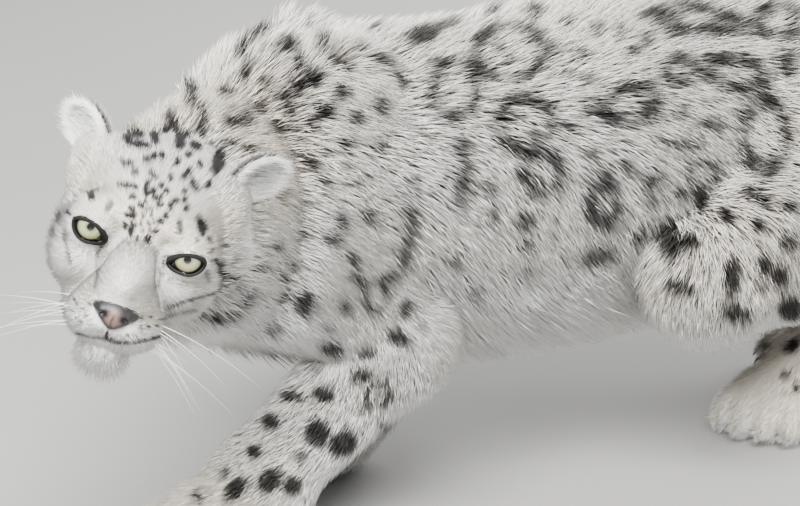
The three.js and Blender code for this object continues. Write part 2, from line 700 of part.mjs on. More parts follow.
// Torso, neck and tail
const trunkMesh = meshOf(coreField, [-420, -200, 60], [520, 200, 480], CELL.torso);
const legLocks = fringes.flatMap(({ upper, lower }) => [...upper, ...lower]);
nodes.torso = makeRoom(addLocks(trunkMesh, bellyLocks.concat(chestLocks)), legLocks)
  .subtract(limbs)
  .subtract(neckSide(-SIZE.gap))
  .subtract(alongTail(1, -SIZE.gap));
const neckMesh = (grow) =>
  meshOf((x, y, z) => coreField(x, y, z) - grow, [-520, -330, 140], [-180, 150, 480], CELL.neck);
nodes.neck = addLocks(neckMesh(0), throatLocks)
  .intersect(neckSide(0))
  .subtract(limbs)
  .subtract(headSide(-SIZE.gap));
const TAIL_CUTS = [1, 3, 5, 6];
const tail = meshOf(tailField, [380, -90, 0], [1160, 230, 380], CELL.tail);
TAIL_CUTS.forEach((n, i) => {
  const start = tail.intersect(alongTail(n, 0));
  const next = TAIL_CUTS[i + 1];
  nodes[`tail_${i + 1}`] = next ? start.subtract(alongTail(next, -SIZE.gap)) : addLocks(start, tipLocks);
});

// Head. Its own solids are placed by [left, up, forward] from between the eyes.
const faceMatrix = new THREE.Matrix4()
  .makeBasis(FACE.left, FACE.up, FACE.forward)
  .setPosition(FACE.origin);
const inFace = (geometry) => solidOf(geometry, faceMatrix);
const ball = (centre, radii, grow = 0, sides = 14) =>
  new THREE.SphereGeometry(1, sides, Math.round(sides * 0.7))
    .rotateX(Math.PI / 2)
    .scale(...radii.map((r) => r + grow))
    .translate(...centre);
const eyeAt = (side) => [EYE[0] * side, EYE[2], EYE[1]];

const EYEBALL = [SIZE.eyeball, SIZE.eyeball, SIZE.eyeball];
const eyeball = (side, grow) => inFace(ball(eyeAt(side), EYEBALL, grow, 10));

// An eyelid pair: a thin ball over the eye with an almond opening, tilted up at its outer corner
function lids(side) {
  const almond = new THREE.Shape();
  const [wide, high] = [OPENING.wide / 2, OPENING.high / 2];
  almond.moveTo(-wide, 0).quadraticCurveTo(0, high * 2, wide, 0).quadraticCurveTo(0, -high * 2, -wide, 0);
  const opening = new THREE.ExtrudeGeometry(almond, { depth: 60, bevelEnabled: false, curveSegments: 5 })
    .rotateZ(THREE.MathUtils.degToRad(OPENING.tilt * side))
    .translate(...eyeAt(side));
  return eyeball(side, SIZE.lid).subtract(inFace(opening));
}

// An ear: an egg-shaped shell, open in front, that stands up and out of the skull
function earMatrix(side) {
  const [root, along, open] = [EAR.root, EAR.along, EAR.open].map(([l, u, f]) => axis(l * side, u, f));
  along.normalize();
  const facing = open.addScaledVector(along, -open.dot(along)).normalize();
  const across = along.clone().cross(facing);
  return faceMatrix.clone().multiply(
    new THREE.Matrix4().makeBasis(across, along, facing).setPosition(root),
  );
}
const earSolid = (side, grow) => solidOf(ball([0, 18, 0], EAR.radii, grow, 12), earMatrix(side));

// The nose leather with its two nostrils, and the groove of the mouth
const noseSolid = (grow) => inFace(ball(NOSE.at, NOSE.radii, grow, 10));
const nostrils = [1, -1].map((side) =>
  inFace(ball([NOSE.nostril[0] * side, NOSE.nostril[1], NOSE.nostril[2]], NOSE.pit, 0, 6)),
);
function mouthGroove() {
  const section = new THREE.Shape();
  section.moveTo(-1.4, -9).lineTo(1.4, -9).lineTo(1.4, 9).lineTo(-1.4, 9);
  const [middle, ...half] = MOUTH.map((p) => axis(...p));
  const other = half.map((p) => p.clone().setX(-p.x)).reverse();
  const path = new THREE.CatmullRomCurve3([...other, middle, ...half]);
  return inFace(new THREE.ExtrudeGeometry(section, { steps: 14, extrudePath: path, bevelEnabled: false }));
}

const sides = { left: 1, right: -1 };
const headMesh = meshOf(bodyField, ...around(FACE.place([0, -20, -10]).toArray(), [130, 130, 125]), CELL.head)
  .intersect(headSide(0))
  .intersect(beyond([0, 0, 200], [0, 0, 1]));
const behindHead = neckMesh(RUFF_CLEAR).subtract(headSide(0));
const ruff = addLocks(ruffLocks[0].solid, ruffLocks.slice(1)).subtract(behindHead);
let head = headMesh.add(ruff).subtract(noseSolid(SIZE.gap)).subtract(mouthGroove());
for (const side of Object.values(sides)) {
  head = head.add(lids(side)).subtract(eyeball(side, SIZE.gap));
  head = head.subtract(earSolid(side, SIZE.gap));
}
nodes.head = head;
nodes.nose_leather = noseSolid(0).subtract(nostrils[0]).subtract(nostrils[1]);
for (const [name, side] of Object.entries(sides)) {
  nodes[`eye_${name}`] = eyeball(side, 0);
  const cup = solidOf(ball(EAR.cup, EAR.cupRadii, 0, 10), earMatrix(side));
  nodes[`ear_${name}`] = earSolid(side, 0).subtract(cup);
}

// Finishes: coat in three depths of grey, the nose leather, and the eyes
const FINISH = {
  coat: { color: 0xd6d2ca, roughness: 0.95 },
  pale_coat: { color: 0xe6e4df, roughness: 0.95 },
  ear_coat: { color: 0xbdb8b0, roughness: 0.95 },
  nose_skin: { color: 0x9a7d76, roughness: 0.5 },
  eye: { color: 0xa9b08c, roughness: 0.08 },
};
const finishOf = (name) => {
  if (name.startsWith("eye")) return FINISH.eye;
  if (name.startsWith("nose")) return FINISH.nose_skin;
  if (name.startsWith("ear")) return FINISH.ear_coat;
  return name.endsWith("paw") ? FINISH.pale_coat : FINISH.coat;
};

// Each solid becomes a mesh, and the whole is set with its middle over the origin
for (const [name, solid] of Object.entries(nodes)) {
  const material = new THREE.MeshStandardMaterial({ ...finishOf(name), metalness: 0 });
  const mesh = new THREE.Mesh(geometryOf(largest(solid)), material);
  mesh.name = name;
  group.add(mesh);
}
const middle = new THREE.Box3().setFromObject(group).getCenter(axis(0, 0, 0));
group.position.set(-middle.x, -middle.y, 0);
export default group;
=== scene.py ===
"""The finish of a life-size snow leopard: its skin, long spotted coat, face, claws and stage.

Places are worked out in millimetres in the animal's own frame: it faces -X, its left is -Y and
its paws stand on Z = 0. They are moved into the frame of the solids by the left eye's place.
The solids' surface is where the coat's tips end, so the skin lies inside it by the coat's depth.
"""
from math import cos, pi, radians, sin

import bmesh
import bpy
import numpy as np
from bpy.props import FloatProperty, FloatVectorProperty, PointerProperty
from mathutils import Matrix, Vector


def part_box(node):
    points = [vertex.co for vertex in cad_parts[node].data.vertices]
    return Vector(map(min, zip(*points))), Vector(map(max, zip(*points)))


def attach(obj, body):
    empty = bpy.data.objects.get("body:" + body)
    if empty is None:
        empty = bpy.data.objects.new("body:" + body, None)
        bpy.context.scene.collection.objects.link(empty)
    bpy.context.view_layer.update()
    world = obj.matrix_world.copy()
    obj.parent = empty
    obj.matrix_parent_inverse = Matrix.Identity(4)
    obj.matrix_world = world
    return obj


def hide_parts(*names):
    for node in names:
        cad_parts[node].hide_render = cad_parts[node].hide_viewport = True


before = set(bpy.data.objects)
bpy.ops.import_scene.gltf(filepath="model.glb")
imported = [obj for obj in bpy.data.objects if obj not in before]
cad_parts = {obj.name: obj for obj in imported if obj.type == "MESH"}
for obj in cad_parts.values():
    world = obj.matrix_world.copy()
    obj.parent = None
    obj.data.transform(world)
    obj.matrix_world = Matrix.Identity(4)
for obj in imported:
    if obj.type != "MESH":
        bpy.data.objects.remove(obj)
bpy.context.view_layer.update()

bl_info = {
    "name": "Snow leopard",
    "version": (1, 0, 0),
    "blender": (4, 5, 0),
    "location": "3D View > Sidebar > Leopard",
    "description": "Adds the skin, coat, face, claws and stage of a stalking snow leopard",
    "category": "Add Mesh",
}

# Trunk stations from chest to rump: distance along X, top, underside and half width
TRUNK = np.array([
    (-335, 318, 240, 38),
    (-295, 362, 184, 74),
    (-235, 418, 158, 118),
    (-160, 424, 146, 133),
    (-60, 421, 144, 140),
    (50, 428, 146, 141),
    (150, 436, 160, 131),
    (240, 440, 186, 122),
    (330, 430, 205, 116),
    (400, 402, 235, 92),
    (448, 362, 268, 52),
], float)

# Bars are two ends, each x, y, z and radius; the nape's fills the skin behind the head
NAPE = ((-386, -196, 332, 48), (-318, -100, 316, 56))
NECK = [
    ((-230, -18, 300, 98), (-294, -62, 318, 66)),
    ((-294, -62, 318, 66), (-342, -124, 322, 58)),
    ((-262, -44, 262, 92), (-338, -124, 280, 72)),
]
TAIL = [
    (405, 0, 322, 58), (470, -2, 268, 54), (545, -2, 196, 53), (630, 4, 134, 53), (728, 16, 98, 54),
    (830, 34, 86, 54), (930, 60, 96, 52), (1016, 96, 122, 47), (1078, 138, 160, 38),
]
TAIL_LINE = np.array([joint[:3] for joint in TAIL], float)
LEGS = {
    "foreleg_left": {
        "blade": ((-178, -58, 385, 50), (-222, -80, 262, 66)),
        "upper": ((-225, -84, 246, 66), (-150, -98, 176, 51)),
        "elbow": (-128, -98, 176, 34),
        "lower": ((-154, -98, 164, 50), (-260, -86, 62, 42)),
        "wrist": ((-258, -86, 58, 42), (-300, -86, 38, 36)),
        "paw": (-312, -86),
        "toes": (-1, -0.12),
    },
    "foreleg_right": {
        "blade": ((-168, 56, 378, 50), (-225, 78, 262, 66)),
        "upper": ((-225, 82, 250, 66), (-100, 92, 185, 54)),
        "elbow": (-72, 92, 190, 36),
        "lower": ((-102, 90, 176, 52), (-118, 48, 66, 40)),
        "wrist": ((-118, 48, 58, 38), (-146, 45, 38, 35)),
        "paw": (-158, 44),
        "toes": (-1, 0.05),
    },
    "hindleg_left": {
        "blade": ((330, -62, 345, 88), (250, -88, 285, 96)),
        "upper": ((290, -84, 290, 92), (142, -122, 206, 65)),
        "elbow": (131, -124, 198, 52),
        "lower": ((152, -118, 194, 53), (368, -58, 142, 33)),
        "heel": (386, -54, 142, 26),
        "wrist": ((374, -56, 128, 31), (294, -42, 50, 34)),
        "paw": (270, -34),
        "toes": (-0.82, -0.57),
    },
    "hindleg_right": {
        "blade": ((330, 62, 345, 88), (285, 86, 285, 94)),
        "upper": ((300, 84, 290, 90), (236, 114, 200, 64)),
        "elbow": (218, 116, 190, 52),
        "lower": ((238, 112, 190, 55), (468, 84, 142, 33)),
        "heel": (486, 82, 144, 26),
        "wrist": ((474, 82, 130, 30), (418, 76, 48, 33)),
        "paw": (392, 72),
        "toes": (-1, 0.12),
    },
}
TOE_SIDES = (-33, -12, 12, 33)  # how far to the side of the paw's middle line each toe is

# The head's frame, and its eggs as centre and radii along left, forward and up
EYES = np.array([-414.6, -254.5, 335.0])
HEAD_TURN, HEAD_DROP, HEAD_ROLL = radians(64.2), radians(3.9), radians(19.8)
FACE_EGGS = [
    ((2, -60, 4), (64, 64, 50)),  # skull
    ((0, -40, 22), (48, 42, 31)),  # crown
    ((0, 24, -10), (18, 42, 19)),  # bridge of the nose
    ((0, 26, -38), (30, 36, 27)),  # muzzle
    ((0, 50, -29), (16, 13, 12)),  # end of the nose
    ((0, -10, -60), (42, 46, 24)),  # jaw
    ((0, 33, -72), (20, 20, 15)),  # chin
    ((52, -62, -18), (27, 34, 40)),  # ruff on the near side
    ((-36, -64, -24), (23, 32, 38)),  # ruff on the far side
]
FACE_PAIRS = [
    ((38, -32, -26), (32, 40, 38)),  # cheek
    ((30, -6, 16), (22, 11, 9)),  # brow
    ((46, -62, 22), (24, 30, 27)),  # temple
    ((17, 38, -47), (19, 22, 16)),  # whisker pad
]
EYE_GAP, EYE_BACK, EYEBALL = 36.5, -6.0, 15.2
HEAD_MIDDLE = (0, -30, -10)  # where the head's unwrap is seen from
EYE_OPENING = ((-0.8, -1.3, 13), (11.4, 7.7, 17))  # eggs cut out of the skin, from the eye's
EYE_CORNER = ((-12.8, -4.2, 10), (5.4, 4.0, 14))  # centre along its opening's own axes
NOSE_AT = (57, -31)  # the nose leather's middle, forward and up
NOSTRIL = 7.6  # from the middle of the nose to the middle of each nostril
ALMOND = (10.2, 6.6, 7.7)  # the opening's half width, and its height above and below
SOCKET = ((EYE_GAP, 7, 0), (17, 13, 11))
MOUTH = [(0, 54, -54), (13, 50, -52), (25, 41, -52), (32, 27, -50), (36, 12, -43)]
EAR = {"root": (54, -74, 26), "along": (0.52, -0.2, 0.85), "open": (0.6, 0.8, -0.1)}
EAR_RADII, EAR_MIDDLE, EAR_LIFT, EAR_WALL = (19, 24, 10), 18, 2, 2.2

# Rows from pole to pole, or from rim to rim, and columns round each smooth piece of the face
EYE_GRID, LID_GRID, NOSE_GRID, EAR_GRID = (48, 64), (22, 96), (72, 96), (40, 64)

# The photograph's camera: its frame and focal length in pixels, and its place in millimetres
PHOTO_WIDE, PHOTO_HIGH, PHOTO_FOCAL = 800, 506, 2525
CAMERA = np.array([-943.954, -1902.352, 887.0])
CAMERA_HEADING, CAMERA_TILT = radians(24), radians(18)
SENSOR = 36.0

FLESH = ["head", "neck", "torso", "tail_1", "tail_2", "tail_3", "tail_4"] + [
    f"{leg}_{part}" for leg in LEGS for part in ("upper", "lower", "paw")
]


def unit(v):
    """v divided by its length, along the last axis."""
    return v / np.maximum(np.linalg.norm(v, axis=-1, keepdims=True), 1e-9)


def head_axes():
    """Left, forward and up of the head: turned, dropped, then rolled about forward."""
    forward = np.array([
        -cos(HEAD_TURN) * cos(HEAD_DROP),
        -sin(HEAD_TURN) * cos(HEAD_DROP),
        -sin(HEAD_DROP),
    ])
    level = unit(np.array([-forward[1], forward[0], 0]))
    left = level * cos(HEAD_ROLL) - np.cross(forward, level) * sin(HEAD_ROLL)
    up = np.cross(forward, left)
    return np.array([left, forward, up if up[2] > 0 else -up])


HEAD = head_axes()
LOOK = np.array([
    sin(CAMERA_HEADING) * cos(CAMERA_TILT),
    cos(CAMERA_HEADING) * cos(CAMERA_TILT),
    -sin(CAMERA_TILT),
])
RIGHT = np.array([cos(CAMERA_HEADING), -sin(CAMERA_HEADING), 0])
ABOVE = np.cross(RIGHT, LOOK)


def from_head(places):
    """Places given as left, forward and up from between the eyes, in the animal's frame."""
    return EYES + np.asarray(places, float) @ HEAD


def to_head(p):
    """Points of the animal's frame as left, forward and up from between the eyes."""
    return (p - EYES) @ HEAD.T


EYE_BOX = [np.array(corner) * 1000 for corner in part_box("eye_left")]
SHIFT = (EYE_BOX[0] + EYE_BOX[1]) / 2 - from_head((EYE_GAP, EYE_BACK, 0))
SHIFT[2] = 0


def to_frame(p):
    """Millimetres in the animal's frame to metres in the frame of the solids."""
    return (np.asarray(p, float) + SHIFT) * 0.001


def pixels(p):
    """Where points show in the photograph's frame, by the pinhole rule."""
    way = p - CAMERA
    depth = way @ LOOK
    across = PHOTO_WIDE / 2 + PHOTO_FOCAL * (way @ RIGHT) / depth
    down = PHOTO_HIGH / 2 - PHOTO_FOCAL * (way @ ABOVE) / depth
    return np.stack([across, down], 1)


def ease(low, high, x):
    """A smooth step from 0 at low to 1 at high."""
    t = np.clip((x - low) / (high - low), 0, 1)
    return t * t * (3 - 2 * t)


def union(a, b, blend):
    """The lesser of two fields, with a round fillet of so much where they cross."""
    h = np.maximum(blend - np.abs(a - b), 0) / blend
    return np.minimum(a, b) - h * h * blend / 4


def bar(p, start, end, flat=1.0):
    """Distance to a tapered bar with round ends, narrowed across Y by flat."""
    squeeze = np.array([1, 1 / flat, 1])
    along = (np.array(end[:3]) - start[:3]) * squeeze
    q = (p - np.array(start[:3])) * squeeze
    t = np.clip(q @ along / (along @ along), 0, 1)
    q = q - t[:, None] * along
    return np.sqrt(np.einsum("ij,ij->i", q, q)) - (start[3] + (end[3] - start[3]) * t)


def egg(p, centre, radii):
    """Near distance to an egg with three radii, by its level and slope."""
    q = (p - np.array(centre, float)) / np.array(radii, float)
    near = np.sqrt(np.einsum("ij,ij->i", q, q))
    q = q / np.array(radii, float)
    steep = np.maximum(np.sqrt(np.einsum("ij,ij->i", q, q)), 1e-6)
    return near * (near - 1) / steep


def station(column, x):
    """A smooth cubic curve through one column of the trunk's stations."""
    at, value = TRUNK[:, 0], TRUNK[:, column]
    slope = np.gradient(value, at)
    slope[1:-1] = (value[2:] - value[:-2]) / (at[2:] - at[:-2])
    x = np.clip(x, at[0], at[-1])
    i = np.clip(np.searchsorted(at, x, side="right") - 1, 0, len(at) - 2)
    span = at[i + 1] - at[i]
    t = (x - at[i]) / span
    rise = (3 - 2 * t) * t * t
    return (
        (1 - rise) * value[i] + rise * value[i + 1]
        + t * (1 - t) * span * ((1 - t) * slope[i] - t * slope[i + 1])
    )


def trunk(p):
    """An egg-shaped ring round the stations' middle, closed past both ends."""
    top, under, half = (station(column, p[:, 0]) for column in (1, 2, 3))
    middle, tall = (top + under) / 2, (top - under) / 2
    ring = (np.hypot((p[:, 2] - middle) / tall, p[:, 1] / half) - 1) * np.minimum(tall, half)
    past = np.maximum(TRUNK[0, 0] - p[:, 0], p[:, 0] - TRUNK[-1, 0])
    closed = np.hypot(np.maximum(ring, 0), past * 1.2) + np.minimum(ring, 0) * 0.2
    return np.where(past > 0, closed, ring)


def toe_middle(side):
    """How far before the paw's middle a toe is: less for the outer ones."""
    return 40 - abs(side) * 0.42


def foot(p, leg):
    """A pad with four toes in a fan before it, joined to the wrist."""
    point = unit(np.array([*leg["toes"], 0.0]))
    axes = np.array([[-point[1], point[0], 0], point, [0, 0, 1]])
    q = (p - np.array([*leg["paw"], 0.0])) @ axes.T
    pad = egg(q, (0, -2, 30), (45, 50, 32))
    fan = None
    for side in TOE_SIDES:
        toe = egg(q, (side, toe_middle(side), 22), (15.5, 29, 23))
        fan = toe if fan is None else union(fan, toe, 5)
    return union(bar(p, *leg["wrist"]), union(pad, fan, 12), 22)


def face(p):
    """The head's eggs joined, with the two eye sockets hollowed."""
    q = to_head(p)
    mirror = np.array([-1, 1, 1])
    field = None
    for centre, radii in FACE_EGGS + FACE_PAIRS:
        eggs = [egg(q, centre, radii)]
        if (centre, radii) in FACE_PAIRS:
            eggs.append(egg(q, mirror * centre, radii))
        for one in eggs:
            field = one if field is None else union(field, one, 13)
    for side in (1, -1):
        centre, radii = SOCKET
        field = -union(-field, egg(q, np.array([side, 1, 1]) * centre, radii), 8)
    return field


REGIONS = ["trunk", "neck", "tail", "head"] + [
    f"{leg}_{part}" for leg in LEGS for part in ("upper", "lower", "foot")
]


TRUNK_REGION, TAIL_REGION, HEAD_REGION = (
    REGIONS.index(kind) for kind in ("trunk", "tail", "head")
)


def region_fields(p):
    """Distance to each region's own form, by the region's name."""
    fields = {"trunk": trunk(p), "head": face(p)}
    for name, bars, blend in (("neck", NECK, 30), ("tail", list(zip(TAIL, TAIL[1:])), 20)):
        field = bar(p, *bars[0])
        for ends in bars[1:]:
            field = union(field, bar(p, *ends), blend)
        fields[name] = field
    for name, leg in LEGS.items():
        x, *rest = leg["elbow"]
        elbow = bar(p, leg["elbow"], (x + 1, *rest))
        upper = union(bar(p, *leg["upper"], flat=0.85), elbow, 22)
        fields[f"{name}_upper"] = union(bar(p, *leg["blade"], flat=0.72), upper, 34)
        lower = bar(p, *leg["lower"])
        if "heel" in leg:
            lower = union(lower, bar(p, leg["lower"][1], leg["heel"]), 14)
        fields[f"{name}_lower"] = lower
        fields[f"{name}_foot"] = foot(p, leg)
    return fields


def whole(fields):
    """All regions joined into one body with fillets."""
    field = union(fields["trunk"], fields["neck"], 40)
    field = union(field, fields["tail"], 40)
    for leg in LEGS:
        limb = union(fields[f"{leg}_upper"], fields[f"{leg}_lower"], 24)
        limb = union(limb, fields[f"{leg}_foot"], 20)
        field = union(field, limb, 34)
    return union(field, fields["head"], 22)


# How deep the coat stands over the skin in each kind of region, and how long its hairs are
DEPTH = {"trunk": 26, "neck": 24, "tail": 23, "head": 7, "upper": 19, "lower": 9, "foot": 5}
LENGTH = {"trunk": 39, "neck": 37, "tail": 44, "head": 14, "upper": 36, "lower": 21, "foot": 15}
KIND = {region: region.split("_")[-1] for region in REGIONS}


def face_depth(p):
    """The coat's depth on the head: least on the muzzle, most on the cheeks and ruff."""
    left, forward, up = to_head(p).T
    back = ease(25, -60, forward)
    cheek = ease(34, 62, np.abs(left)) * ease(14, -18, up)
    return 2.0 + 7 * back + 6 * cheek * ease(10, -30, forward) + 3 * beard(p)


def beard(p):
    """The chin's share of longer hair."""
    _, forward, up = to_head(p).T
    return ease(-55, -80, up) * ease(-10, 20, forward)


def weights(fields, soft=9):
    """Each region's share at each point, falling off with distance from its form."""
    near = np.stack([fields[region] for region in REGIONS])
    share = np.exp(-np.clip(near - near.min(0), 0, 300) / soft)
    return share / share.sum(0)


def coat_depth(p, share):
    """The coat's depth over the skin, mixed between regions, and deeper under the belly."""
    depth = face_depth(p) * share[HEAD_REGION]
    for i, region in enumerate(REGIONS):
        if region != "head":
            depth = depth + share[i] * DEPTH[KIND[region]]
    belly = share[TRUNK_REGION] * ease(230, 165, p[:, 2]) * ease(330, 240, p[:, 0])
    blade = sum(share[REGIONS.index(f"{leg}_upper")] for leg in LEGS) * ease(250, 335, p[:, 2])
    return depth + 6 * belly + 9 * blade


def skin_field(p):
    """The body's form, drawn in by the coat's depth, with the line of the mouth pressed in."""
    fields = region_fields(p)
    field = whole(fields) + coat_depth(p, weights(fields))
    field = union(field, bar(p, *NAPE), 26)
    q = to_head(p)
    half = [np.array(point, float) for point in MOUTH]
    near = np.full(len(p), 99.0)
    fold = np.stack([np.abs(q[:, 0]), q[:, 1], q[:, 2]], 1)
    for a, b in zip(half, half[1:]):
        near = np.minimum(near, bar(fold, (*a, 0), (*b, 0)))
    field = field + 3.2 * np.exp(-((near / 1.9) ** 2))
    for side in (1, -1):
        eye = p - from_head((side * EYE_GAP, EYE_BACK, 0))
        field = union(field, np.linalg.norm(eye, axis=1) - (EYEBALL + 0.7), 9)
        eye = eye @ lid_axes(side).T * [side, 1, 1]
        field = -union(-field, union(egg(eye, *EYE_OPENING), egg(eye, *EYE_CORNER), 3), 2)
    seat = ((q - [0, 60, -31]) / [13, 14, 8]) ** 2
    return field + 3.0 * np.exp(-seat.sum(1))


def slope(field, p, step=0.6):
    """The field's gradient by central differences."""
    parts = []
    for axis in range(3):
        move = np.zeros(3)
        move[axis] = step
        parts.append((field(p + move) - field(p - move)) / (2 * step))
    return np.stack(parts, 1)


def settle(field, p, rounds=3, most=4.0):
    """Points slid down the field's slope on to its surface."""
    for _ in range(rounds):
        g = slope(field, p)
        move = (field(p) / np.maximum((g * g).sum(1), 0.05))[:, None] * g
        p = p - move * np.minimum(1, most / np.maximum(np.linalg.norm(move, axis=1), 1e-6))[:, None]
    return p


CORNERS = np.array([(n & 1, n >> 1 & 1, n >> 2) for n in range(8)])


def surface(field, low, high, cell):
    """Points and quads of a field's surface: one point in each crossed cell of a grid, at the mean
    of its crossings, and one quad round each crossed edge. Only cells near the surface are read."""
    coarse = 3
    counts = np.ceil((np.array(high) - low) / (cell * coarse)).astype(int) * coarse + 1
    marks = [low[i] + cell * np.arange(counts[i]) for i in range(3)]
    grid = np.stack(np.meshgrid(*(m[::coarse] for m in marks), indexing="ij"), -1)
    rough = field(grid.reshape(-1, 3)).reshape(grid.shape[:3])
    value = rough
    for axis in range(3):
        value = np.repeat(value, coarse, axis=axis)
    value = value[: counts[0], : counts[1], : counts[2]].copy()
    close = np.argwhere(np.abs(value) < coarse * cell * 1.9)
    value[tuple(close.T)] = field(np.array(low) + close * cell)
    value[value == 0] = 1e-6
    shape = np.array(value.shape) - 1
    inside = value < 0
    wide, deep, tall = shape
    total = sum(
        inside[a: a + wide, b: b + deep, c: c + tall].astype(np.int8) for a, b, c in CORNERS
    )
    cells = np.argwhere((total > 0) & (total < 8))
    number = -np.ones(shape, int)
    number[tuple(cells.T)] = np.arange(len(cells))
    at = np.stack([value[tuple((cells + corner).T)] for corner in CORNERS], 1)
    place, crossings = np.zeros((len(cells), 3)), np.zeros(len(cells))
    for start, corner in enumerate(CORNERS):
        for axis in range(3):
            if corner[axis]:
                continue
            v0, v1 = at[:, start], at[:, start + (1 << axis)]
            crossed = (v0 < 0) != (v1 < 0)
            spot = np.tile(corner.astype(float), (len(cells), 1))
            spot[:, axis] = np.where(crossed, v0 / np.where(crossed, v0 - v1, 1), 0)
            place += spot * crossed[:, None]
            crossings += crossed
    points = np.array(low) + (cells + place / crossings[:, None]) * cell
    quads = []
    for axis in range(3):
        u, v = (axis + 1) % 3, (axis + 2) % 3
        step = np.eye(3, dtype=int)
        window = [slice(1, -1)] * 3
        window[axis] = slice(0, -1)
        ahead = list(window)
        ahead[axis] = slice(1, None)
        crossed = inside[tuple(window)] != inside[tuple(ahead)]
        edges = np.argwhere(crossed) + 1 - step[axis]
        ring = [edges, edges - step[u], edges - step[u] - step[v], edges - step[v]]
        quad = np.stack([number[tuple(r.T)] for r in ring], 1)
        inner = inside[tuple(edges.T)]
        quads.append(np.where(inner[:, None], quad, quad[:, ::-1]))
    return points, np.concatenate(quads)


def new_mesh(name, points, faces, smooth=True):
    """An object from points in the animal's millimetres and faces of one number of corners."""
    mesh = bpy.data.meshes.new(name)
    points, faces = to_frame(points), np.asarray(faces)
    sides = faces.shape[1]
    mesh.vertices.add(len(points))
    mesh.vertices.foreach_set("co", points.astype(np.float32).ravel())
    mesh.loops.add(faces.size)
    mesh.loops.foreach_set("vertex_index", faces.astype(np.int32).ravel())
    mesh.polygons.add(len(faces))
    mesh.polygons.foreach_set("loop_start", np.arange(0, faces.size, sides, dtype=np.int32))
    mesh.polygons.foreach_set("use_smooth", np.full(len(faces), smooth))
    mesh.update(calc_edges=True)
    piece = bpy.data.objects.new(name, mesh)
    bpy.context.scene.collection.objects.link(piece)
    return piece


def wrap_grid(rows, columns, across=1.0):
    """Two arrays: the way from 0 to across down the rows, and the turn round the columns."""
    turns = np.linspace(0, 2 * pi, columns, endpoint=False)
    return np.meshgrid(np.linspace(0, across, rows), turns, indexing="ij")


def tube(middles, across, out, radius, sides, flat=1.0):
    """Rings round a line's points: the cosine of the turn goes across and its sine goes out."""
    turn = np.linspace(0, 2 * pi, sides, endpoint=False)
    ring = (
        flat * np.cos(turn)[None, :, None] * across
        + np.sin(turn)[None, :, None] * out
    )
    return (middles[:, None] + radius[:, None, None] * ring).reshape(-1, 3)


def grid_faces(rows, columns, wrap=True):
    """Quads of a grid whose columns may close on themselves."""
    columns_used = np.arange(columns if wrap else columns - 1)
    r, c = np.meshgrid(np.arange(rows - 1), columns_used, indexing="ij")
    d = (c + 1) % columns
    corners = [(r, c), (r, d), (r + 1, d), (r + 1, c)]
    return np.stack([row * columns + column for row, column in corners], -1).reshape(-1, 4)


def set_value(piece, name, values):
    """A number for each of a piece's points, kept as an attribute."""
    attribute = piece.data.attributes.new(name, "FLOAT", "POINT")
    attribute.data.foreach_set("value", np.asarray(values, np.float32))


def set_patches(piece, uv, faces):
    """Puts each point's place on the unwrap into a map of its own, named OFBake."""
    layer = piece.data.uv_layers.new(name="OFBake")
    corners = uv.reshape(-1, 2)[faces.ravel()]
    layer.data.foreach_set("uv", corners.astype(np.float32).ravel())


def finish_piece(piece, material, slot, *nodes):
    """Gives a piece its material and the body that it rides on; the slot is not used."""
    piece.data.materials.append(material)
    if nodes:
        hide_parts(*nodes)
    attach(piece, "root")
    return piece


# The coat's markings. Spots are pixels of the photograph's frame, cast on to the near side:
# x, y, then half lengths along and across, the tilt of the long way in degrees, and darkness.
def spots(places, long, wide, dark, tilts=(-35, 20, 70, -70, 0, 45)):
    """Spots of one size, with their tilts taken in turn unless a place states its own figures."""
    marks = []
    for i, place in enumerate(places):
        own = list(place[2:]) + [None] * (4 - len(place[2:]))
        size = [long, wide, tilts[i % len(tilts)], dark]
        marks.append((*place[:2], *(b if a is None else a for a, b in zip(own, size)), 0.0))
    return marks


def rings(places, dark, band):
    """Rosettes: x, y, half width, half height and tilt, with a band of so many pixels."""
    return [(x, y, a, b, tilt, dark, band) for x, y, a, b, tilt in places]


def line(points, wide, dark):
    """A streak as spots from point to point."""
    marks = []
    for (x0, y0), (x1, y1) in zip(points, points[1:]):
        long = np.hypot(x1 - x0, y1 - y0) / 2
        tilt = np.degrees(np.arctan2(y1 - y0, x1 - x0))
        marks.append(((x0 + x1) / 2, (y0 + y1) / 2, long + wide * 0.6, wide, tilt, dark, 0.0))
    return marks


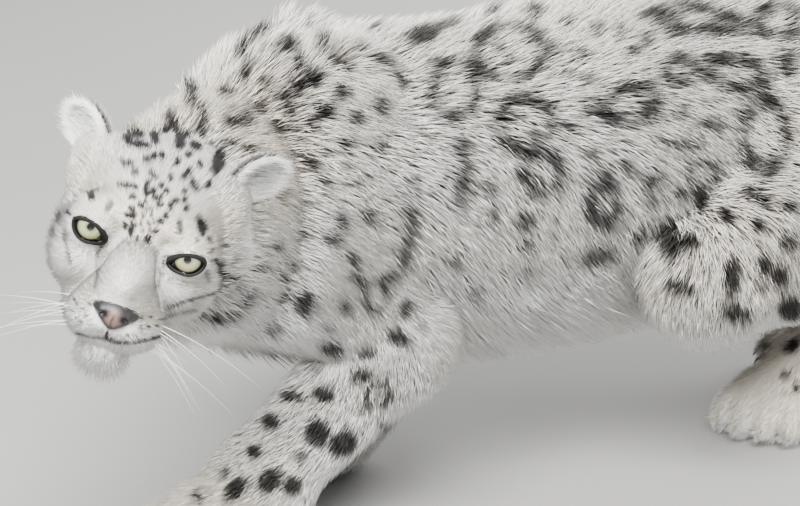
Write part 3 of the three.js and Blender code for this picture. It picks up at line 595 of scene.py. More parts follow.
HEAD_MARKS = (
    spots([
        (135, 168), (147, 156), (163, 153), (179, 159), (190, 152), (202, 162), (152, 168),
        (156, 173), (172, 174), (186, 173), (191, 168), (135, 183), (148, 179), (147, 186),
        (147, 191), (154, 188), (163, 182), (156, 195), (161, 195), (168, 188), (187, 188),
        (211, 182), (133, 194), (141, 203), (197, 184), (177, 198), (172, 204), (189, 206),
        (161, 203), (132, 207), (133, 215), (128, 214), (124, 225), (130, 231), (133, 224),
        (149, 238), (156, 231), (161, 220), (167, 214), (187, 197), (154, 153),
    ], 4.4, 3.3, 1.0)
    + spots([
        (146, 199), (151, 206), (152, 213), (143, 214), (149, 222), (141, 222), (154, 220),
        (146, 208), (138, 236), (143, 230), (199, 238), (215, 250), (150, 230),
    ], 3.2, 1.7, 0.9, tilts=(75, 60, 100))
    + spots([
        (127, 159, 8, 3.5, 10), (197, 182, 9, 4, 60), (126, 182, 10, 3.5, 5),
        (204, 225, 5, 10, -10), (181, 225, 3.5, 9, 0, 0.8), (91, 194, 4, 4, -30),
        (213, 238, 5, 3, 60), (229, 244, 4, 3, 40, 0.8), (109, 204, 4, 7, 20, 0.65),
        (226, 270, 10, 5, 75), (219, 261, 4, 3, 60), (240, 278, 4, 3.5), (266, 268, 5, 4),
        (281, 248, 5, 4), (285, 279, 6, 4), (287, 299, 6, 4), (287, 195, 8, 6, 0, 0.5),
        (201, 218, 4, 6, 0, 0.7), (211, 277, 3, 7, 0, 0.6), (227, 285, 5, 5, 0, 0.8),
        (242, 260, 3, 5, 0, 0.5), (244, 288, 6, 3, 0, 0.6), (65, 210, 3, 3),
        (50, 230, 2, 7, 0, 0.6),
    ], 6, 4, 1.0)
    + spots([
        (141, 142, 11, 4, 5), (136, 130, 9, 6), (155, 134, 8, 5), (173, 116, 10, 6, 60),
        (181, 139, 6, 9, 0), (176, 125, 7, 5), (205, 124, 6, 10, 0), (197, 144, 7, 5),
        (220, 159, 7, 14, 15), (192, 98, 8, 6), (214, 142, 5, 4, 0, 0.7), (128, 137, 6, 5),
        (166, 127, 6, 5), (188, 131, 6, 5),
    ], 8, 5, 1.0)
    + line([(226, 138), (240, 143), (262, 152)], 4.0, 0.95)
    + line([(60, 226), (64, 246), (68, 264)], 2.4, 0.7)
    + line([(57, 208), (55, 220)], 2.6, 0.8)
    + line([(84, 189), (97, 187)], 2.6, 0.9)
    + line([(106, 242), (101, 250)], 2.0, 1.0)
    + line([(168, 262), (162, 266)], 2.0, 1.0)
    + line([(101, 250), (99, 260), (93, 288)], 1.9, 0.5)
    + line([(164, 268), (159, 276), (157, 288)], 1.8, 0.45)
    + line([(168, 311), (188, 303), (208, 297), (228, 290)], 2.0, 0.8)
    + line([(160, 320), (182, 316), (200, 312)], 1.7, 0.6)
    + line([(206, 321), (228, 323), (245, 311), (257, 293)], 5.0, 0.95)
    + line([(108, 330), (105, 341)], 1.8, 0.95)
    + line([(105, 340), (90, 339), (74, 334)], 1.4, 0.7)
    + line([(105, 340), (118, 345), (132, 345), (150, 341), (167, 335)], 1.9, 0.9)
    + spots([
        (129, 337), (137, 338), (146, 340), (142, 328), (151, 327), (159, 326), (144, 318),
        (153, 317), (73, 298), (75, 303), (81, 308), (70, 310), (74, 318), (78, 322), (88, 303),
        (84, 315),
    ], 2.1, 1.5, 0.9)
)
BODY_MARKS = (
    spots([
        (265, 23), (242, 46, 7, 9, 0), (324, 34), (300, 59, 7, 9, 0), (246, 71, 6, 11, 0),
        (269, 80), (265, 103, 6, 10, 0), (286, 96), (294, 107), (250, 117), (232, 120),
        (228, 90, 6, 9, 0), (282, 126), (320, 113, 7, 9, 0), (313, 124), (332, 112), (338, 56),
        (228, 88), (300, 86, 7, 10, 0), (190, 84), (252, 30), (292, 41, 13, 9, 35),
        (314, 75, 12, 11, 30), (203, 108), (300, 154, 7, 4),
    ], 10, 6.5, 1.0, tilts=(30, 60, 20, 75, 45))
    + spots([
        (262, 42), (277, 46), (281, 62), (294, 74), (255, 60), (251, 103), (298, 128),
        (310, 100), (310, 22), (274, 10), (305, 142), (336, 100), (233, 105), (288, 84),
        (306, 66), (320, 45),
    ], 7, 4.5, 0.6, tilts=(30, 60, 20, 75, 45))
    + spots([
        (345, 92, 10, 7, 30), (359, 119, 9, 7, 40), (384, 107, 11, 7, 70), (350, 143, 10, 5, 0),
        (315, 164, 9, 6, 40), (328, 182, 9, 6, 30), (364, 43, 9, 5, 20), (387, 59, 12, 6, 30),
        (405, 80, 11, 6, 60), (424, 33, 19, 10, -15), (449, 22, 15, 6, -20, 0.8),
        (384, 147, 7, 6), (495, 6, 10, 6), (536, 8, 11, 8), (352, 66, 8, 5), (332, 154, 5, 4),
        (344, 222, 7, 11, 0), (336, 241, 11, 6, 0), (372, 219, 7, 9, 0),
        (308, 240, 7, 6, 0, 0.6), (316, 205, 7, 4, 0, 0.6), (296, 268, 8, 6, 0, 0.6),
        (356, 262, 9, 6, 60), (438, 60, 9, 6, 0, 0.8), (378, 24, 8, 4), (350, 165, 7, 5, 0, 0.6),
        (362, 186, 8, 5, 0, 0.6),
    ], 10, 7, 0.95)
    + spots([
        (308, 306, 10, 14, 0), (347, 310, 6, 8, 0), (409, 311, 8, 10, 20), (400, 340, 13, 9, 20),
        (334, 352, 12, 8, 10), (368, 357, 10, 6, -20), (361, 378, 12, 7, -10),
        (290, 398, 13, 6, 15), (323, 396, 12, 8, 10), (268, 422, 10, 8, 10),
        (316, 435, 13, 14, 0), (342, 447, 16, 12, -40), (269, 482, 14, 11, -40),
        (292, 488, 10, 10, 0), (233, 491, 15, 9, -50), (223, 473, 6, 4),
        (277, 334, 9, 7, 20, 0.6), (313, 374, 7, 5, 0, 0.5), (425, 327, 5, 6, 0, 0.7),
        (358, 280, 7, 7), (389, 282, 7, 8), (330, 330, 6, 5, 0, 0.7), (252, 452, 8, 6),
        (196, 497, 9, 6), (300, 458, 7, 6, 0, 0.7), (385, 430, 7, 5, 0, 0.7),
        (366, 412, 8, 5, 0, 0.6),
    ], 9, 7, 0.97)
    + rings([(377, 298, 11, 15, 0), (379, 398, 12, 11, 0), (704, 176, 14, 13, 0)], 0.95, 8)
    + rings([
        (458, 88, 22, 29, 0), (512, 50, 34, 27, 0), (528, 125, 28, 27, 0), (544, 176, 20, 20, 0),
        (683, 70, 14, 13, 0), (739, 74, 27, 15, 10), (634, 106, 26, 18, -15),
        (767, 135, 21, 34, 0), (782, 20, 23, 16, 0), (700, 18, 34, 12, 8), (606, 205, 13, 22, 0),
    ], 0.95, 14)
    + spots([
        (500, 45, 7, 6, 0), (513, 57, 5, 5, 0), (569, 19, 8, 5), (557, 47, 9, 6, 40),
        (583, 53, 9, 6, 40), (600, 27, 8, 6), (624, 29, 5, 9, 0), (636, 50, 9, 5, -20),
        (649, 37, 9, 6), (570, 72, 11, 6, 0, 0.6), (592, 77, 9, 6, 30, 0.7),
        (649, 110, 11, 9, 0), (623, 119, 9, 6), (596, 113, 9, 5, 0), (590, 99, 7, 4, 0, 0.6),
        (703, 27, 16, 5, 8), (706, 10, 13, 4, 10), (677, 31, 9, 5, 20), (790, 63, 12, 14, 0),
        (715, 55, 12, 4, 0), (508, 113, 9, 7), (533, 100, 9, 6), (554, 105, 6, 6),
        (523, 118, 6, 5), (505, 146, 7, 5), (518, 143, 7, 7), (540, 138, 6, 6), (550, 158, 7, 6),
        (528, 180, 8, 7), (543, 192, 12, 6, 0), (652, 84, 9, 6), (646, 14, 9, 5),
    ], 9.5, 7, 0.9)
    + spots([
        (466, 150, 10, 13, 0), (466, 185, 9, 28, 10), (493, 190, 8, 7), (496, 218, 10, 7),
        (528, 224, 12, 10, -20), (530, 248, 8, 8), (414, 222, 8, 20, -10), (408, 254, 8, 22, 10),
        (394, 279, 7, 8), (456, 264, 9, 6, 15), (479, 297, 6, 9), (574, 128, 8, 7),
        (594, 156, 9, 9), (606, 221, 13, 8, 0), (600, 259, 19, 9, -10),
        (530, 277, 5, 14, 10, 0.5), (610, 190, 10, 10, 0), (418, 190, 8, 12, 0, 0.5),
        (433, 138, 8, 6, 0, 0.5), (715, 126, 16, 7, 10), (686, 112, 6, 9, 20),
        (690, 146, 22, 5, 0), (669, 141, 6, 4, 30), (630, 170, 9, 8),
    ], 10.5, 8, 0.8)
    + spots([
        (703, 200, 7, 14, -15), (728, 216, 11, 8, 35), (753, 195, 11, 6, 40), (768, 202, 7, 7),
        (791, 207, 8, 8), (761, 227, 9, 7, 40), (641, 240, 9, 7), (669, 244, 13, 18, 0),
        (690, 244, 9, 12, 0), (672, 221, 4, 6, 0), (679, 291, 17, 9, 20), (733, 280, 10, 20, 5),
        (765, 267, 8, 12, 0), (781, 279, 9, 12, 0), (737, 317, 17, 9, 10), (792, 310, 14, 12, 0),
        (785, 375, 6, 4), (796, 388, 6, 4), (790, 245, 9, 9), (655, 205, 9, 7, 0, 0.6),
        (656, 181, 13, 6, -10), (652, 189, 8, 5), (685, 196, 7, 6), (763, 290, 8, 6, 0, 0.7),
        (790, 345, 9, 7), (760, 345, 9, 5, 10, 0.7),
    ], 9, 8, 0.97)
)


def photo_darkness(at, marks, seed):
    """The darkness of named marks at pixels: each spot fades past its rim, and each rosette is a
    band on an ellipse, broken up round its way by waves of its angle."""
    dark = np.zeros(len(at))
    wander = np.random.default_rng(seed)
    for x, y, long, wide, tilt, depth, band in marks:
        turn = radians(tilt)
        phase, lobes = wander.uniform(0, 2 * pi), wander.integers(3, 6)
        near = (np.abs(at[:, 0] - x) < long + wide + 14) & (np.abs(at[:, 1] - y) < long + wide + 14)
        dx, dy = at[near, 0] - x, at[near, 1] - y
        a, b = dx * cos(turn) + dy * sin(turn), dy * cos(turn) - dx * sin(turn)
        reach = np.hypot(a / long, b / wide)
        if band:
            angle = np.arctan2(b / wide, a / long)
            broken = 0.92 + 0.35 * np.sin(lobes * angle + phase) + 0.15 * np.sin(2 * angle - phase)
            off = (reach - 1) * min(long, wide) / (band / 2)
            mark = depth * ease(1.3, 0.6, np.abs(off)) * np.clip(broken, 0, 1)
        else:
            mark = depth * ease(1.35, 0.8, reach)
        dark[near] = np.maximum(dark[near], mark)
    return dark


# Hidden sides: how far apart the scattered marks are, their half size, their darkness, and
# whether they are rosettes
SCATTER = {
    "trunk": (62, 21, 0.75, True),
    "neck": (24, 6.5, 0.95, False),
    "head": (13, 3.4, 0.9, False),
    "upper": (42, 12, 0.9, False),
    "lower": (30, 8, 0.95, False),
    "foot": (24, 4, 0.6, False),
}
SCATTER_TRIES = 9000  # how many of the skin's points are tried as centres
TAIL_BANDS = 62.0  # from one dark band of the tail to the next


def scatter_marks(points, normals, home, seed=11):
    """Centres of marks for the sides that the photograph hides: points of the skin taken in a
    drawn order, each kept if none of its kind is nearer than its region's spacing."""
    order = np.random.default_rng(seed).permutation(len(points))[:SCATTER_TRIES]
    kinds = np.array([KIND[REGIONS[i]] for i in home])
    kept = []
    for kind, (space, half, dark, ring) in SCATTER.items():
        chosen = np.zeros((0, 3))
        for i in order[kinds[order] == kind]:
            if not len(chosen) or ((chosen - points[i]) ** 2).sum(1).min() > space * space:
                chosen = np.vstack([chosen, points[i]])
                kept.append((points[i], normals[i], half, dark, ring, kind))
    return kept


def scattered_darkness(p, home, marks, seed=5):
    """The darkness of scattered marks: distance from each centre across its own tangent plane."""
    dark = np.zeros(len(p))
    kinds = np.array([KIND[region] for region in REGIONS])[home]
    wander = np.random.default_rng(seed)
    for centre, normal, half, depth, ring, kind in marks:
        phase = wander.uniform(0, 2 * pi)
        size, long = wander.uniform(0.75, 1.25), wander.uniform(1, 1.6)
        lean = unit(np.cross(normal, wander.normal(size=3)))
        near = np.flatnonzero((np.abs(p - centre).max(1) < half * 2.6) & (kinds == kind))
        if not len(near):
            continue
        off = p[near] - centre
        off = off - (off @ normal)[:, None] * normal
        a, b = off @ lean, off @ np.cross(normal, lean)
        reach = np.hypot(a / long, b) / (half * size)
        if ring:
            broken = 0.75 + 0.5 * np.sin(4 * np.arctan2(b, a) + phase)
            mark = depth * ease(0.42, 0.15, np.abs(reach - 0.85)) * np.clip(broken, 0, 1)
        else:
            mark = depth * ease(1.3, 0.7, reach)
        dark[near] = np.maximum(dark[near], mark)
    return dark


def tail_darkness(p):
    """Broad dark bands across the tail's top and sides, by the distance along its middle line."""
    steps = np.linalg.norm(np.diff(TAIL_LINE, axis=0), axis=1)
    begins = np.concatenate([[0], np.cumsum(steps)])
    best, along, height = np.full(len(p), 1e9), np.zeros(len(p)), np.zeros(len(p))
    for a, b, begin, step in zip(TAIL_LINE, TAIL_LINE[1:], begins, steps):
        t = np.clip((p - a) @ (b - a) / step**2, 0, 1)
        off = p - a - t[:, None] * (b - a)
        far = np.linalg.norm(off, axis=1)
        closer = far < best
        best, along = np.where(closer, far, best), np.where(closer, begin + t * step, along)
        height = np.where(closer, off[:, 2] / np.maximum(far, 1), height)
    wave = along / TAIL_BANDS + 0.10 * np.sin(p[:, 1] / 17) + 0.06 * np.sin(p[:, 2] / 9)
    band = np.abs(wave % 1 - 0.5) * 2
    end = ease(begins[-1] - 60, begins[-1] - 20, along)
    return np.maximum(0.9 * ease(0.62, 0.34, band), end * 0.85) * ease(-0.85, -0.35, height)


MIRROR_MOVE = np.array([22, 0, -6])  # how far along the far side's marks are moved
MIRROR_FROM = (235, 265)  # pixels: right of these the marks are the body's, and are mirrored
STORE = {}  # what the pieces share: the skin's points, normals and regions, and the marks


def markings(p, normals, home):
    """Darkness of the coat: named marks on the near side, the same mirrored and moved along on the
    far side, scattered ones where neither is seen, and bands on the tail."""
    dark = scattered_darkness(p, home, STORE["scattered"])
    trunk_like = np.isin(home, [TRUNK_REGION, REGIONS.index("neck")])
    for mirrored in (True, False):
        flip = np.array([1, -1, 1]) if mirrored else np.ones(3)
        q = p * flip + mirrored * MIRROR_MOVE
        at = pixels(q)
        facing = ((CAMERA - q) * normals * flip).sum(1) / np.linalg.norm(CAMERA - q, axis=1)
        x, y = at.T
        framed = ease(-12, 2, x) * ease(PHOTO_WIDE + 12, PHOTO_WIDE - 2, x) * ease(-14, 0, y)
        clear = framed * ease(-0.22, -0.06, facing)
        shown = photo_darkness(at, BODY_MARKS, 4)
        if mirrored:
            clear = clear * trunk_like * ease(*MIRROR_FROM, x)
        else:
            shown = np.maximum(shown, photo_darkness(at, HEAD_MARKS, 3))
        dark = dark * (1 - clear) + shown * clear
    tail = home == TAIL_REGION
    return np.where(tail, tail_darkness(p), dark)


def warmth(p, share):
    """How cream the ground is: along the back, nape, haunches and the tops of the feet."""
    back = ease(300, 420, p[:, 2])
    haunch = sum(share[REGIONS.index(f"hindleg_{side}_upper")] for side in ("left", "right"))
    feet = sum(share[REGIONS.index(f"{leg}_foot")] for leg in LEGS)
    waves = 0.5 + 0.25 * np.sin(p[:, 0] / 47 + 1) + 0.25 * np.sin(p[:, 0] / 23 + p[:, 2] / 31)
    head = share[HEAD_REGION]
    nape = share[REGIONS.index("neck")] * ease(290, 350, p[:, 2])
    warm = np.clip(0.35 * back + 0.5 * haunch + 0.6 * feet + 0.6 * nape + 0.12, 0, 1)
    warm = warm * (0.6 + 0.4 * waves)
    left, forward, up = to_head(p).T
    brow = ease(0, 12, up) * ease(40, 24, up) * ease(46, 26, np.abs(np.abs(left) - 24))
    side = ease(20, 40, forward) * ease(8, 16, np.abs(left)) * ease(-14, -30, up)
    return warm * (1 - head) + head * np.clip(0.1 + 0.5 * brow + 0.45 * side, 0, 1)


def whiteness(p, normals, share):
    """How white the ground is: the belly, chest, throat, chin, muzzle and inner legs."""
    low = ease(0.1, -0.7, normals[:, 2]) * ease(330, 220, p[:, 2])
    _, forward, up = to_head(p).T
    chin = ease(-52, -66, up)
    muzzle = ease(24, 44, forward) * ease(-30, -44, up)
    head = share[HEAD_REGION]
    return np.clip(low * (1 - head) + head * np.maximum(chin, muzzle), 0, 1)


def lie_of_coat(p, normals, share):
    """The way the hairs lie: down each bone, to the tail and down on the trunk, and back from the
    nose on the face, mixed between regions and laid along the skin."""
    lie = np.zeros((len(p), 3))
    side = ease(0.95, 0.2, np.abs(normals[:, 2]))
    back_down = np.stack([0.85 - 0.3 * side, 0 * side, -0.15 - 0.7 * side], 1)
    for i, region in enumerate(REGIONS):
        kind = KIND[region]
        if kind in ("upper", "lower", "foot"):
            leg = LEGS[region.rsplit("_", 1)[0]]
            start, end = leg[{"upper": "upper", "lower": "lower", "foot": "wrist"}[kind]]
            way = unit(np.array(end[:3], float) - start[:3])
            if kind == "upper":
                way = unit(way + np.array([0.35, 0, -0.8]))
            elif kind == "foot":
                way = unit(np.array([*leg["toes"], -0.25]))
            ways = np.tile(way, (len(p), 1))
            if kind == "upper":
                ways = ways + (back_down - ways) * ease(215, 300, p[:, 2])[:, None]
        elif kind == "trunk":
            ways = back_down
        elif kind == "neck":
            ways = np.tile(unit(np.array([0.85, 0.25, -0.4])), (len(p), 1))
        elif kind == "tail":
            nearest = np.abs(p[:, None, 0] - TAIL_LINE[None, :, 0]).argmin(1)
            tangent = np.gradient(TAIL_LINE, axis=0)
            ways = unit(tangent[nearest])
        else:
            local = to_head(p) - np.array([0, 78, -24])
            below = ease(-18, -34, local[:, 2])[:, None]
            ways = unit(local * np.array([1, 1, 0.85])) * (1 - below) + below * unit(
                np.stack([0.012 * local[:, 0], np.full(len(p), -0.45), np.full(len(p), -1.0)], 1)
            )
            ways = ways @ HEAD
        lie += share[i][:, None] * unit(ways)
    x, y, z = p.T
    swirl = np.stack([np.sin(z / 27 + x / 43), np.sin(x / 31), np.sin(x / 23 + y / 19)], 1)
    lie += 0.16 * swirl * (1 - share[HEAD_REGION])[:, None]
    lie -= (lie * normals).sum(1)[:, None] * normals
    return unit(lie)


BLADE = 0.54  # a tuft's width for a patch of skin of the same measure to itself
BLADE_CORNERS = ((-0.5, 0.0), (0.5, 0.0), (0.0, 0.42))  # across and out, in widths
RING_AT, NARROWED = 0.6, 0.82  # how far along its tuft the second ring is, and its width there
BOW = 0.62  # how strongly a tuft bows away from the straight line to its tip
SUNK = 2.5  # millimetres: how far under the skin a tuft begins
LOWEST_TIP = 0.8  # millimetres: no tip reaches the floor
FRINGE = np.array([4, 0, -34])  # how much further the tips of the belly's fringe reach


def blade_faces(rings, count):
    """Triangles of count three-sided blades with so many rings of corners and one tip each."""
    faces = [(0, 2, 1)]
    for ring in range(rings - 1):
        for i in range(3):
            a, b = ring * 3 + i, ring * 3 + (i + 1) % 3
            faces += [(a, b, b + 3), (a, b + 3, a + 3)]
    last = (rings - 1) * 3
    faces += [(last + i, last + (i + 1) % 3, rings * 3) for i in range(3)]
    step = rings * 3 + 1
    return (np.array(faces)[None] + step * np.arange(count)[:, None, None]).reshape(-1, 3)


PATCH = 0.003  # how far across each tuft's patch is on the skin's unwrap
CHART_EDGE, CHART_SPAN = 0.02, 0.94  # the unwrap's margin in the square, and its size
CHART_FRONT, CHART_LONG = 450, 1650  # millimetres before the origin, and from chest to tail's tip
CHART_LOW, CHART_TALL = 20, 480  # the same for the height on the legs


def chart(p, home):
    """The skin unwrapped by its own shape. The way across is the angle about the region's middle
    line, and each leg has a strip of its own. The way up is the length along the trunk, neck and
    tail, the height on the legs, and the angle from its axis on the head and on each paw."""
    uv = np.zeros((len(p), 2))
    owner = [next((leg for leg in LEGS if region.startswith(leg)), None) for region in REGIONS]
    legs_here = sorted({owner[i] for i in np.unique(home) if owner[i]})
    for i, region in enumerate(REGIONS):
        on = home == i
        if not on.any():
            continue
        q, kind = p[on], KIND[region]
        strip, strips = 0, 1
        if kind == "head":
            left, forward, up = (to_head(q) - HEAD_MIDDLE).T
            round_way = np.arctan2(left, up)
            along = np.arccos(forward / np.sqrt(left**2 + forward**2 + up**2)) / pi
        elif kind in ("trunk", "neck", "tail"):
            middle = np.array([station(1, q[:, 0]) + station(2, q[:, 0])])[0] / 2
            if kind == "tail":
                middle = np.interp(q[:, 0], TAIL_LINE[:, 0], TAIL_LINE[:, 2])
            round_way = np.arctan2(q[:, 1], q[:, 2] - middle)
            along = (q[:, 0] + CHART_FRONT) / CHART_LONG
        else:
            leg = LEGS[owner[i]]
            strip, strips = legs_here.index(owner[i]), len(legs_here)
            start = np.array(leg["lower"][0][:3], float)
            along = (q[:, 2] + CHART_LOW) / CHART_TALL
            if kind == "foot":
                start = np.array([*leg["paw"], 12.0])
                along = np.arccos((q - start)[:, 2] / np.linalg.norm(q - start, axis=1)) / pi
            round_way = np.arctan2(q[:, 1] - start[1], q[:, 0] - start[0])
        uv[on, 0] = CHART_EDGE + CHART_SPAN * (strip + round_way / (2 * pi) + 0.5) / strips
        uv[on, 1] = CHART_EDGE + CHART_SPAN * np.clip(along, 0, 1)
    return uv


def draw_roots(rng, count, member):
    """Roots drawn on the skin's triangles by area where a piece grows, the skin's normals there,
    and the area that they share out."""
    tri, points, normals = STORE["tri"], STORE["points"], STORE["normals"]
    corners = points[tri]
    chance = STORE["area"] * member(corners.mean(1), normals[tri[:, 0]], STORE["home"][tri[:, 0]])
    total = chance.sum()
    chosen = rng.choice(len(tri), count, p=chance / total)
    a, b = rng.random(count), rng.random(count)
    over = a + b > 1
    a, b = np.where(over, 1 - a, a), np.where(over, 1 - b, b)
    mix = np.stack([1 - a - b, a, b], 1)[:, :, None]
    root = (corners[chosen] * mix).sum(1)
    return root, unit((normals[tri[chosen]] * mix).sum(1)), total


def blades(sunk, tip, normal, across, rise, wide, sway, start, rings):
    """Corners of three-sided blades and their places on the unwrap: rings of three round a line
    that bows out by a parabola, and the tip."""
    made = np.zeros((len(tip), rings * 3 + 1, 3))
    uv = np.zeros((len(tip), rings * 3 + 1, 2))
    for ring in range(rings):
        t = RING_AT * ring
        centre = sunk + (tip - sunk) * t + normal * (rise * BOW * t * (1 - t))[:, None]
        centre = centre + across * (sway * ring)[:, None]
        width = (wide * (1.0 if ring == 0 else NARROWED))[:, None]
        for i, (side, out) in enumerate(BLADE_CORNERS):
            made[:, ring * 3 + i] = centre + across * side * width + normal * out * width
            uv[:, ring * 3 + i] = start + PATCH * np.array([side * (1 - 0.3 * t), t + 0.2 * out])
    made[:, -1] = tip
    uv[:, -1] = start + PATCH * np.array([0, 1])
    return made.reshape(-1, 3), uv


def tuft_marks(stray, way, rise, normal, home, first, cut, rings):
    """How dark the corners of each tuft are: the markings where its hair shows, from a first share
    of its way to nearly its tip, made crisp by a threshold of its own."""
    dark = np.zeros((len(way), rings * 3 + 1))
    for ring in range(rings + 1):
        t = first + (0.96 - first) * ring / rings
        lift = normal * (0.3 * rise * (1 - t))[:, None]
        raw = markings(stray + way * t[:, None] + lift, normal, home)
        crisp = ease(-0.15, 0.15, raw - cut) * (0.3 + 0.7 * raw)
        dark[:, 3 * ring: 3 * ring + 3] = crisp[:, None]
    return dark.ravel()


def grow(name, count, member, seed, rings=2, thick=1.0, clump=9.0):
    """A piece of coat. Each tuft runs from its root along the lie of the coat, rises to the coat's
    depth by a curve and hangs a little at its end, and the tips of a clump draw together. Its
    width tapers to nothing."""
    rng = np.random.default_rng(seed)
    root, normal, total = draw_roots(rng, count, member)
    fields = region_fields(root)
    share = weights(fields)
    home = share.argmax(0)
    depth = coat_depth(root, share)
    # How long: by region, by the depth on the face, and longer at the chin and under the belly
    long = share.T @ np.array([LENGTH[KIND[region]] for region in REGIONS])
    is_head = share[HEAD_REGION]
    deep, shaggy = face_depth(root), beard(root) * is_head
    on_face = 1.8 + 1.75 * deep + 9 * ease(9, 14, deep)
    long = long * (1 - is_head) + is_head * on_face
    long = (long + 9 * shaggy) * rng.uniform(0.75, 1.2, count)
    feet = sum(share[REGIONS.index(f"{leg}_foot")] for leg in LEGS)
    belly = ease(0.25, -0.6, normal[:, 2]) * ease(250, 190, root[:, 2]) * share[TRUNK_REGION]
    long = long * (1 + 1.1 * belly)
    # Where the tip goes: along the lie, a little astray, up by the rise and down by the sag
    lie = lie_of_coat(root, normal, weights(fields, 20))
    across = np.cross(lie, normal)
    astray = rng.normal(0, 1, count) * (0.22 - 0.09 * is_head + 0.3 * shaggy)
    lie = unit(lie + across * astray[:, None])
    high = (depth + 6 * shaggy) * rng.uniform(0.55, 1.05, count)
    rise = np.minimum(high, 0.8 * long)
    run = np.sqrt(np.maximum(long**2 - rise**2, 0.09 * long**2))
    sag = 0.10 * long * ease(0.5, -0.8, normal[:, 2]) * (1 - is_head)
    tip = root + lie * run[:, None] + normal * rise[:, None] - sag[:, None] * [0, 0, 1]
    tip = tip + belly[:, None] * FRINGE
    # Tips of one clump draw together, by a wavy grid of cells
    cell = np.floor((root + 3 * np.sin(root[:, [1, 2, 0]] / 5)) / clump).astype(int)
    _, group = np.unique(cell, axis=0, return_inverse=True)
    group = group.ravel()
    size = np.bincount(group)
    middle = np.stack([np.bincount(group, tip[:, i]) / size for i in range(3)], 1)[group]
    tip = tip + (middle - tip) * (rng.uniform(0.15, 0.55, count) + 0.3 * belly)[:, None]
    tip = tip + shaggy[:, None] * rng.normal(0, 2.2, (group.max() + 1, 3))[group]
    tip[:, 2] = np.maximum(tip[:, 2], LOWEST_TIP)
    # Width, and a tone of each clump's and each tuft's own
    wide = thick * BLADE * np.sqrt(total / count) * rng.uniform(0.6, 1.35, count)
    wide = wide * (1 + 0.35 * belly)
    tone = rng.normal(0, 0.4, group.max() + 1)[group] + rng.normal(0, 0.55, count)
    tone = tone * (1 + 0.9 * belly + 0.6 * shaggy + 0.7 * is_head + 0.6 * feet)
    waves = 0.5 + 0.5 * np.sin(root[:, 0] / 31 + 2 * np.sin(root[:, 2] / 37))
    tone = tone - 0.4 * waves * (1 - is_head)
    sunk = root - normal * np.minimum(SUNK, 0.4 * depth)[:, None]
    across = unit(np.cross(tip - root, normal))
    # Marks are read a little astray, so their edges break up as in hair
    stray = root + rng.normal(0, 0.05, (count, 3)) * (4 + depth)[:, None]
    cut = rng.uniform(0.1, 0.5, count)
    sway = rng.normal(0, 0.045, count) * long
    first = 0.42 + 0.33 * is_head
    dark = tuft_marks(stray, tip - root, rise, normal, home, first, cut, rings)
    start = chart(root, home)
    corners, uv = blades(sunk, tip, normal, across, rise, wide, sway, start, rings)
    faces = blade_faces(rings, count)
    piece = new_mesh(name, corners, faces)
    set_patches(piece, uv, faces)
    set_value(piece, "mark", dark)
    per_tuft = {
        "warm": warmth(root, share),
        "white": whiteness(root, normal, share),
        "tone": tone,
    }
    for key, values in per_tuft.items():
        set_value(piece, key, np.repeat(values, rings * 3 + 1))
    climb = np.array([RING_AT * ring for ring in range(rings) for _ in range(3)] + [1.0])
    set_value(piece, "climb", np.tile(climb, count))
    return piece


def feed(tree, socket, value):
    """Links a socket to another one's output, or sets it to a constant."""
    if isinstance(value, bpy.types.NodeSocket):
        tree.links.new(value, socket)
    else:
        socket.default_value = value


def node(tree, kind, **sockets):
    """A shader node with its sockets set or linked."""
    made = tree.nodes.new(kind)
    for name, value in sockets.items():
        feed(tree, made.inputs[name], value)
    return made


def mixed(tree, factor, a, b, blend="MIX"):
    """Colour a to colour b by a factor."""
    made = tree.nodes.new("ShaderNodeMix")
    made.data_type, made.blend_type = "RGBA", blend
    for index, value in ((0, factor), (6, a), (7, b)):
        feed(tree, made.inputs[index], value)
    return made.outputs[2]


def attribute(tree, name):
    """The value of a point attribute."""
    made = tree.nodes.new("ShaderNodeAttribute")
    made.attribute_name = name
    return made.outputs["Fac"]


def arithmetic(tree, operation, a, b=0.0, c=0.0, clamp=False):
    """One sum, product or power of numbers, or a product of two with the third added."""
    made = tree.nodes.new("ShaderNodeMath")
    made.operation, made.use_clamp = operation, clamp
    for index, value in enumerate((a, b, c)):
        feed(tree, made.inputs[index], value)
    return made.outputs[0]


def new_material(name, roughness):
    """A material with an empty tree, its shader and its output."""
    material = bpy.data.materials.new(name)
    material.use_nodes = True
    tree = material.node_tree
    tree.nodes.clear()
    shader = tree.nodes.new("ShaderNodeBsdfPrincipled")
    shader.inputs["Roughness"].default_value = roughness
    out = tree.nodes.new("ShaderNodeOutputMaterial")
    tree.links.new(shader.outputs["BSDF"], out.inputs["Surface"])
    return material, tree, shader


def object_noise(tree, scale, detail=2.0):
    """Noise that stays with the piece, so many waves to the metre."""
    place = tree.nodes.new("ShaderNodeTexCoord")
    return node(
        tree, "ShaderNodeTexNoise", Vector=place.outputs["Object"], Scale=scale, Detail=detail
    ).outputs["Fac"]


def speckled(name, roughness, scale, detail, first, second):
    """A plain material whose colour wanders between two by noise."""
    material, tree, shader = new_material(name, roughness)
    shade = mixed(tree, object_noise(tree, scale, detail), (*first, 1), (*second, 1))
    tree.links.new(shade, shader.inputs["Base Color"])
    return material


def roughen(tree, shader, height, strength, distance):
    """A low bump of so many metres."""
    bump = node(tree, "ShaderNodeBump", Strength=strength, Distance=distance, Height=height)
    tree.links.new(bump.outputs["Normal"], shader.inputs["Normal"])


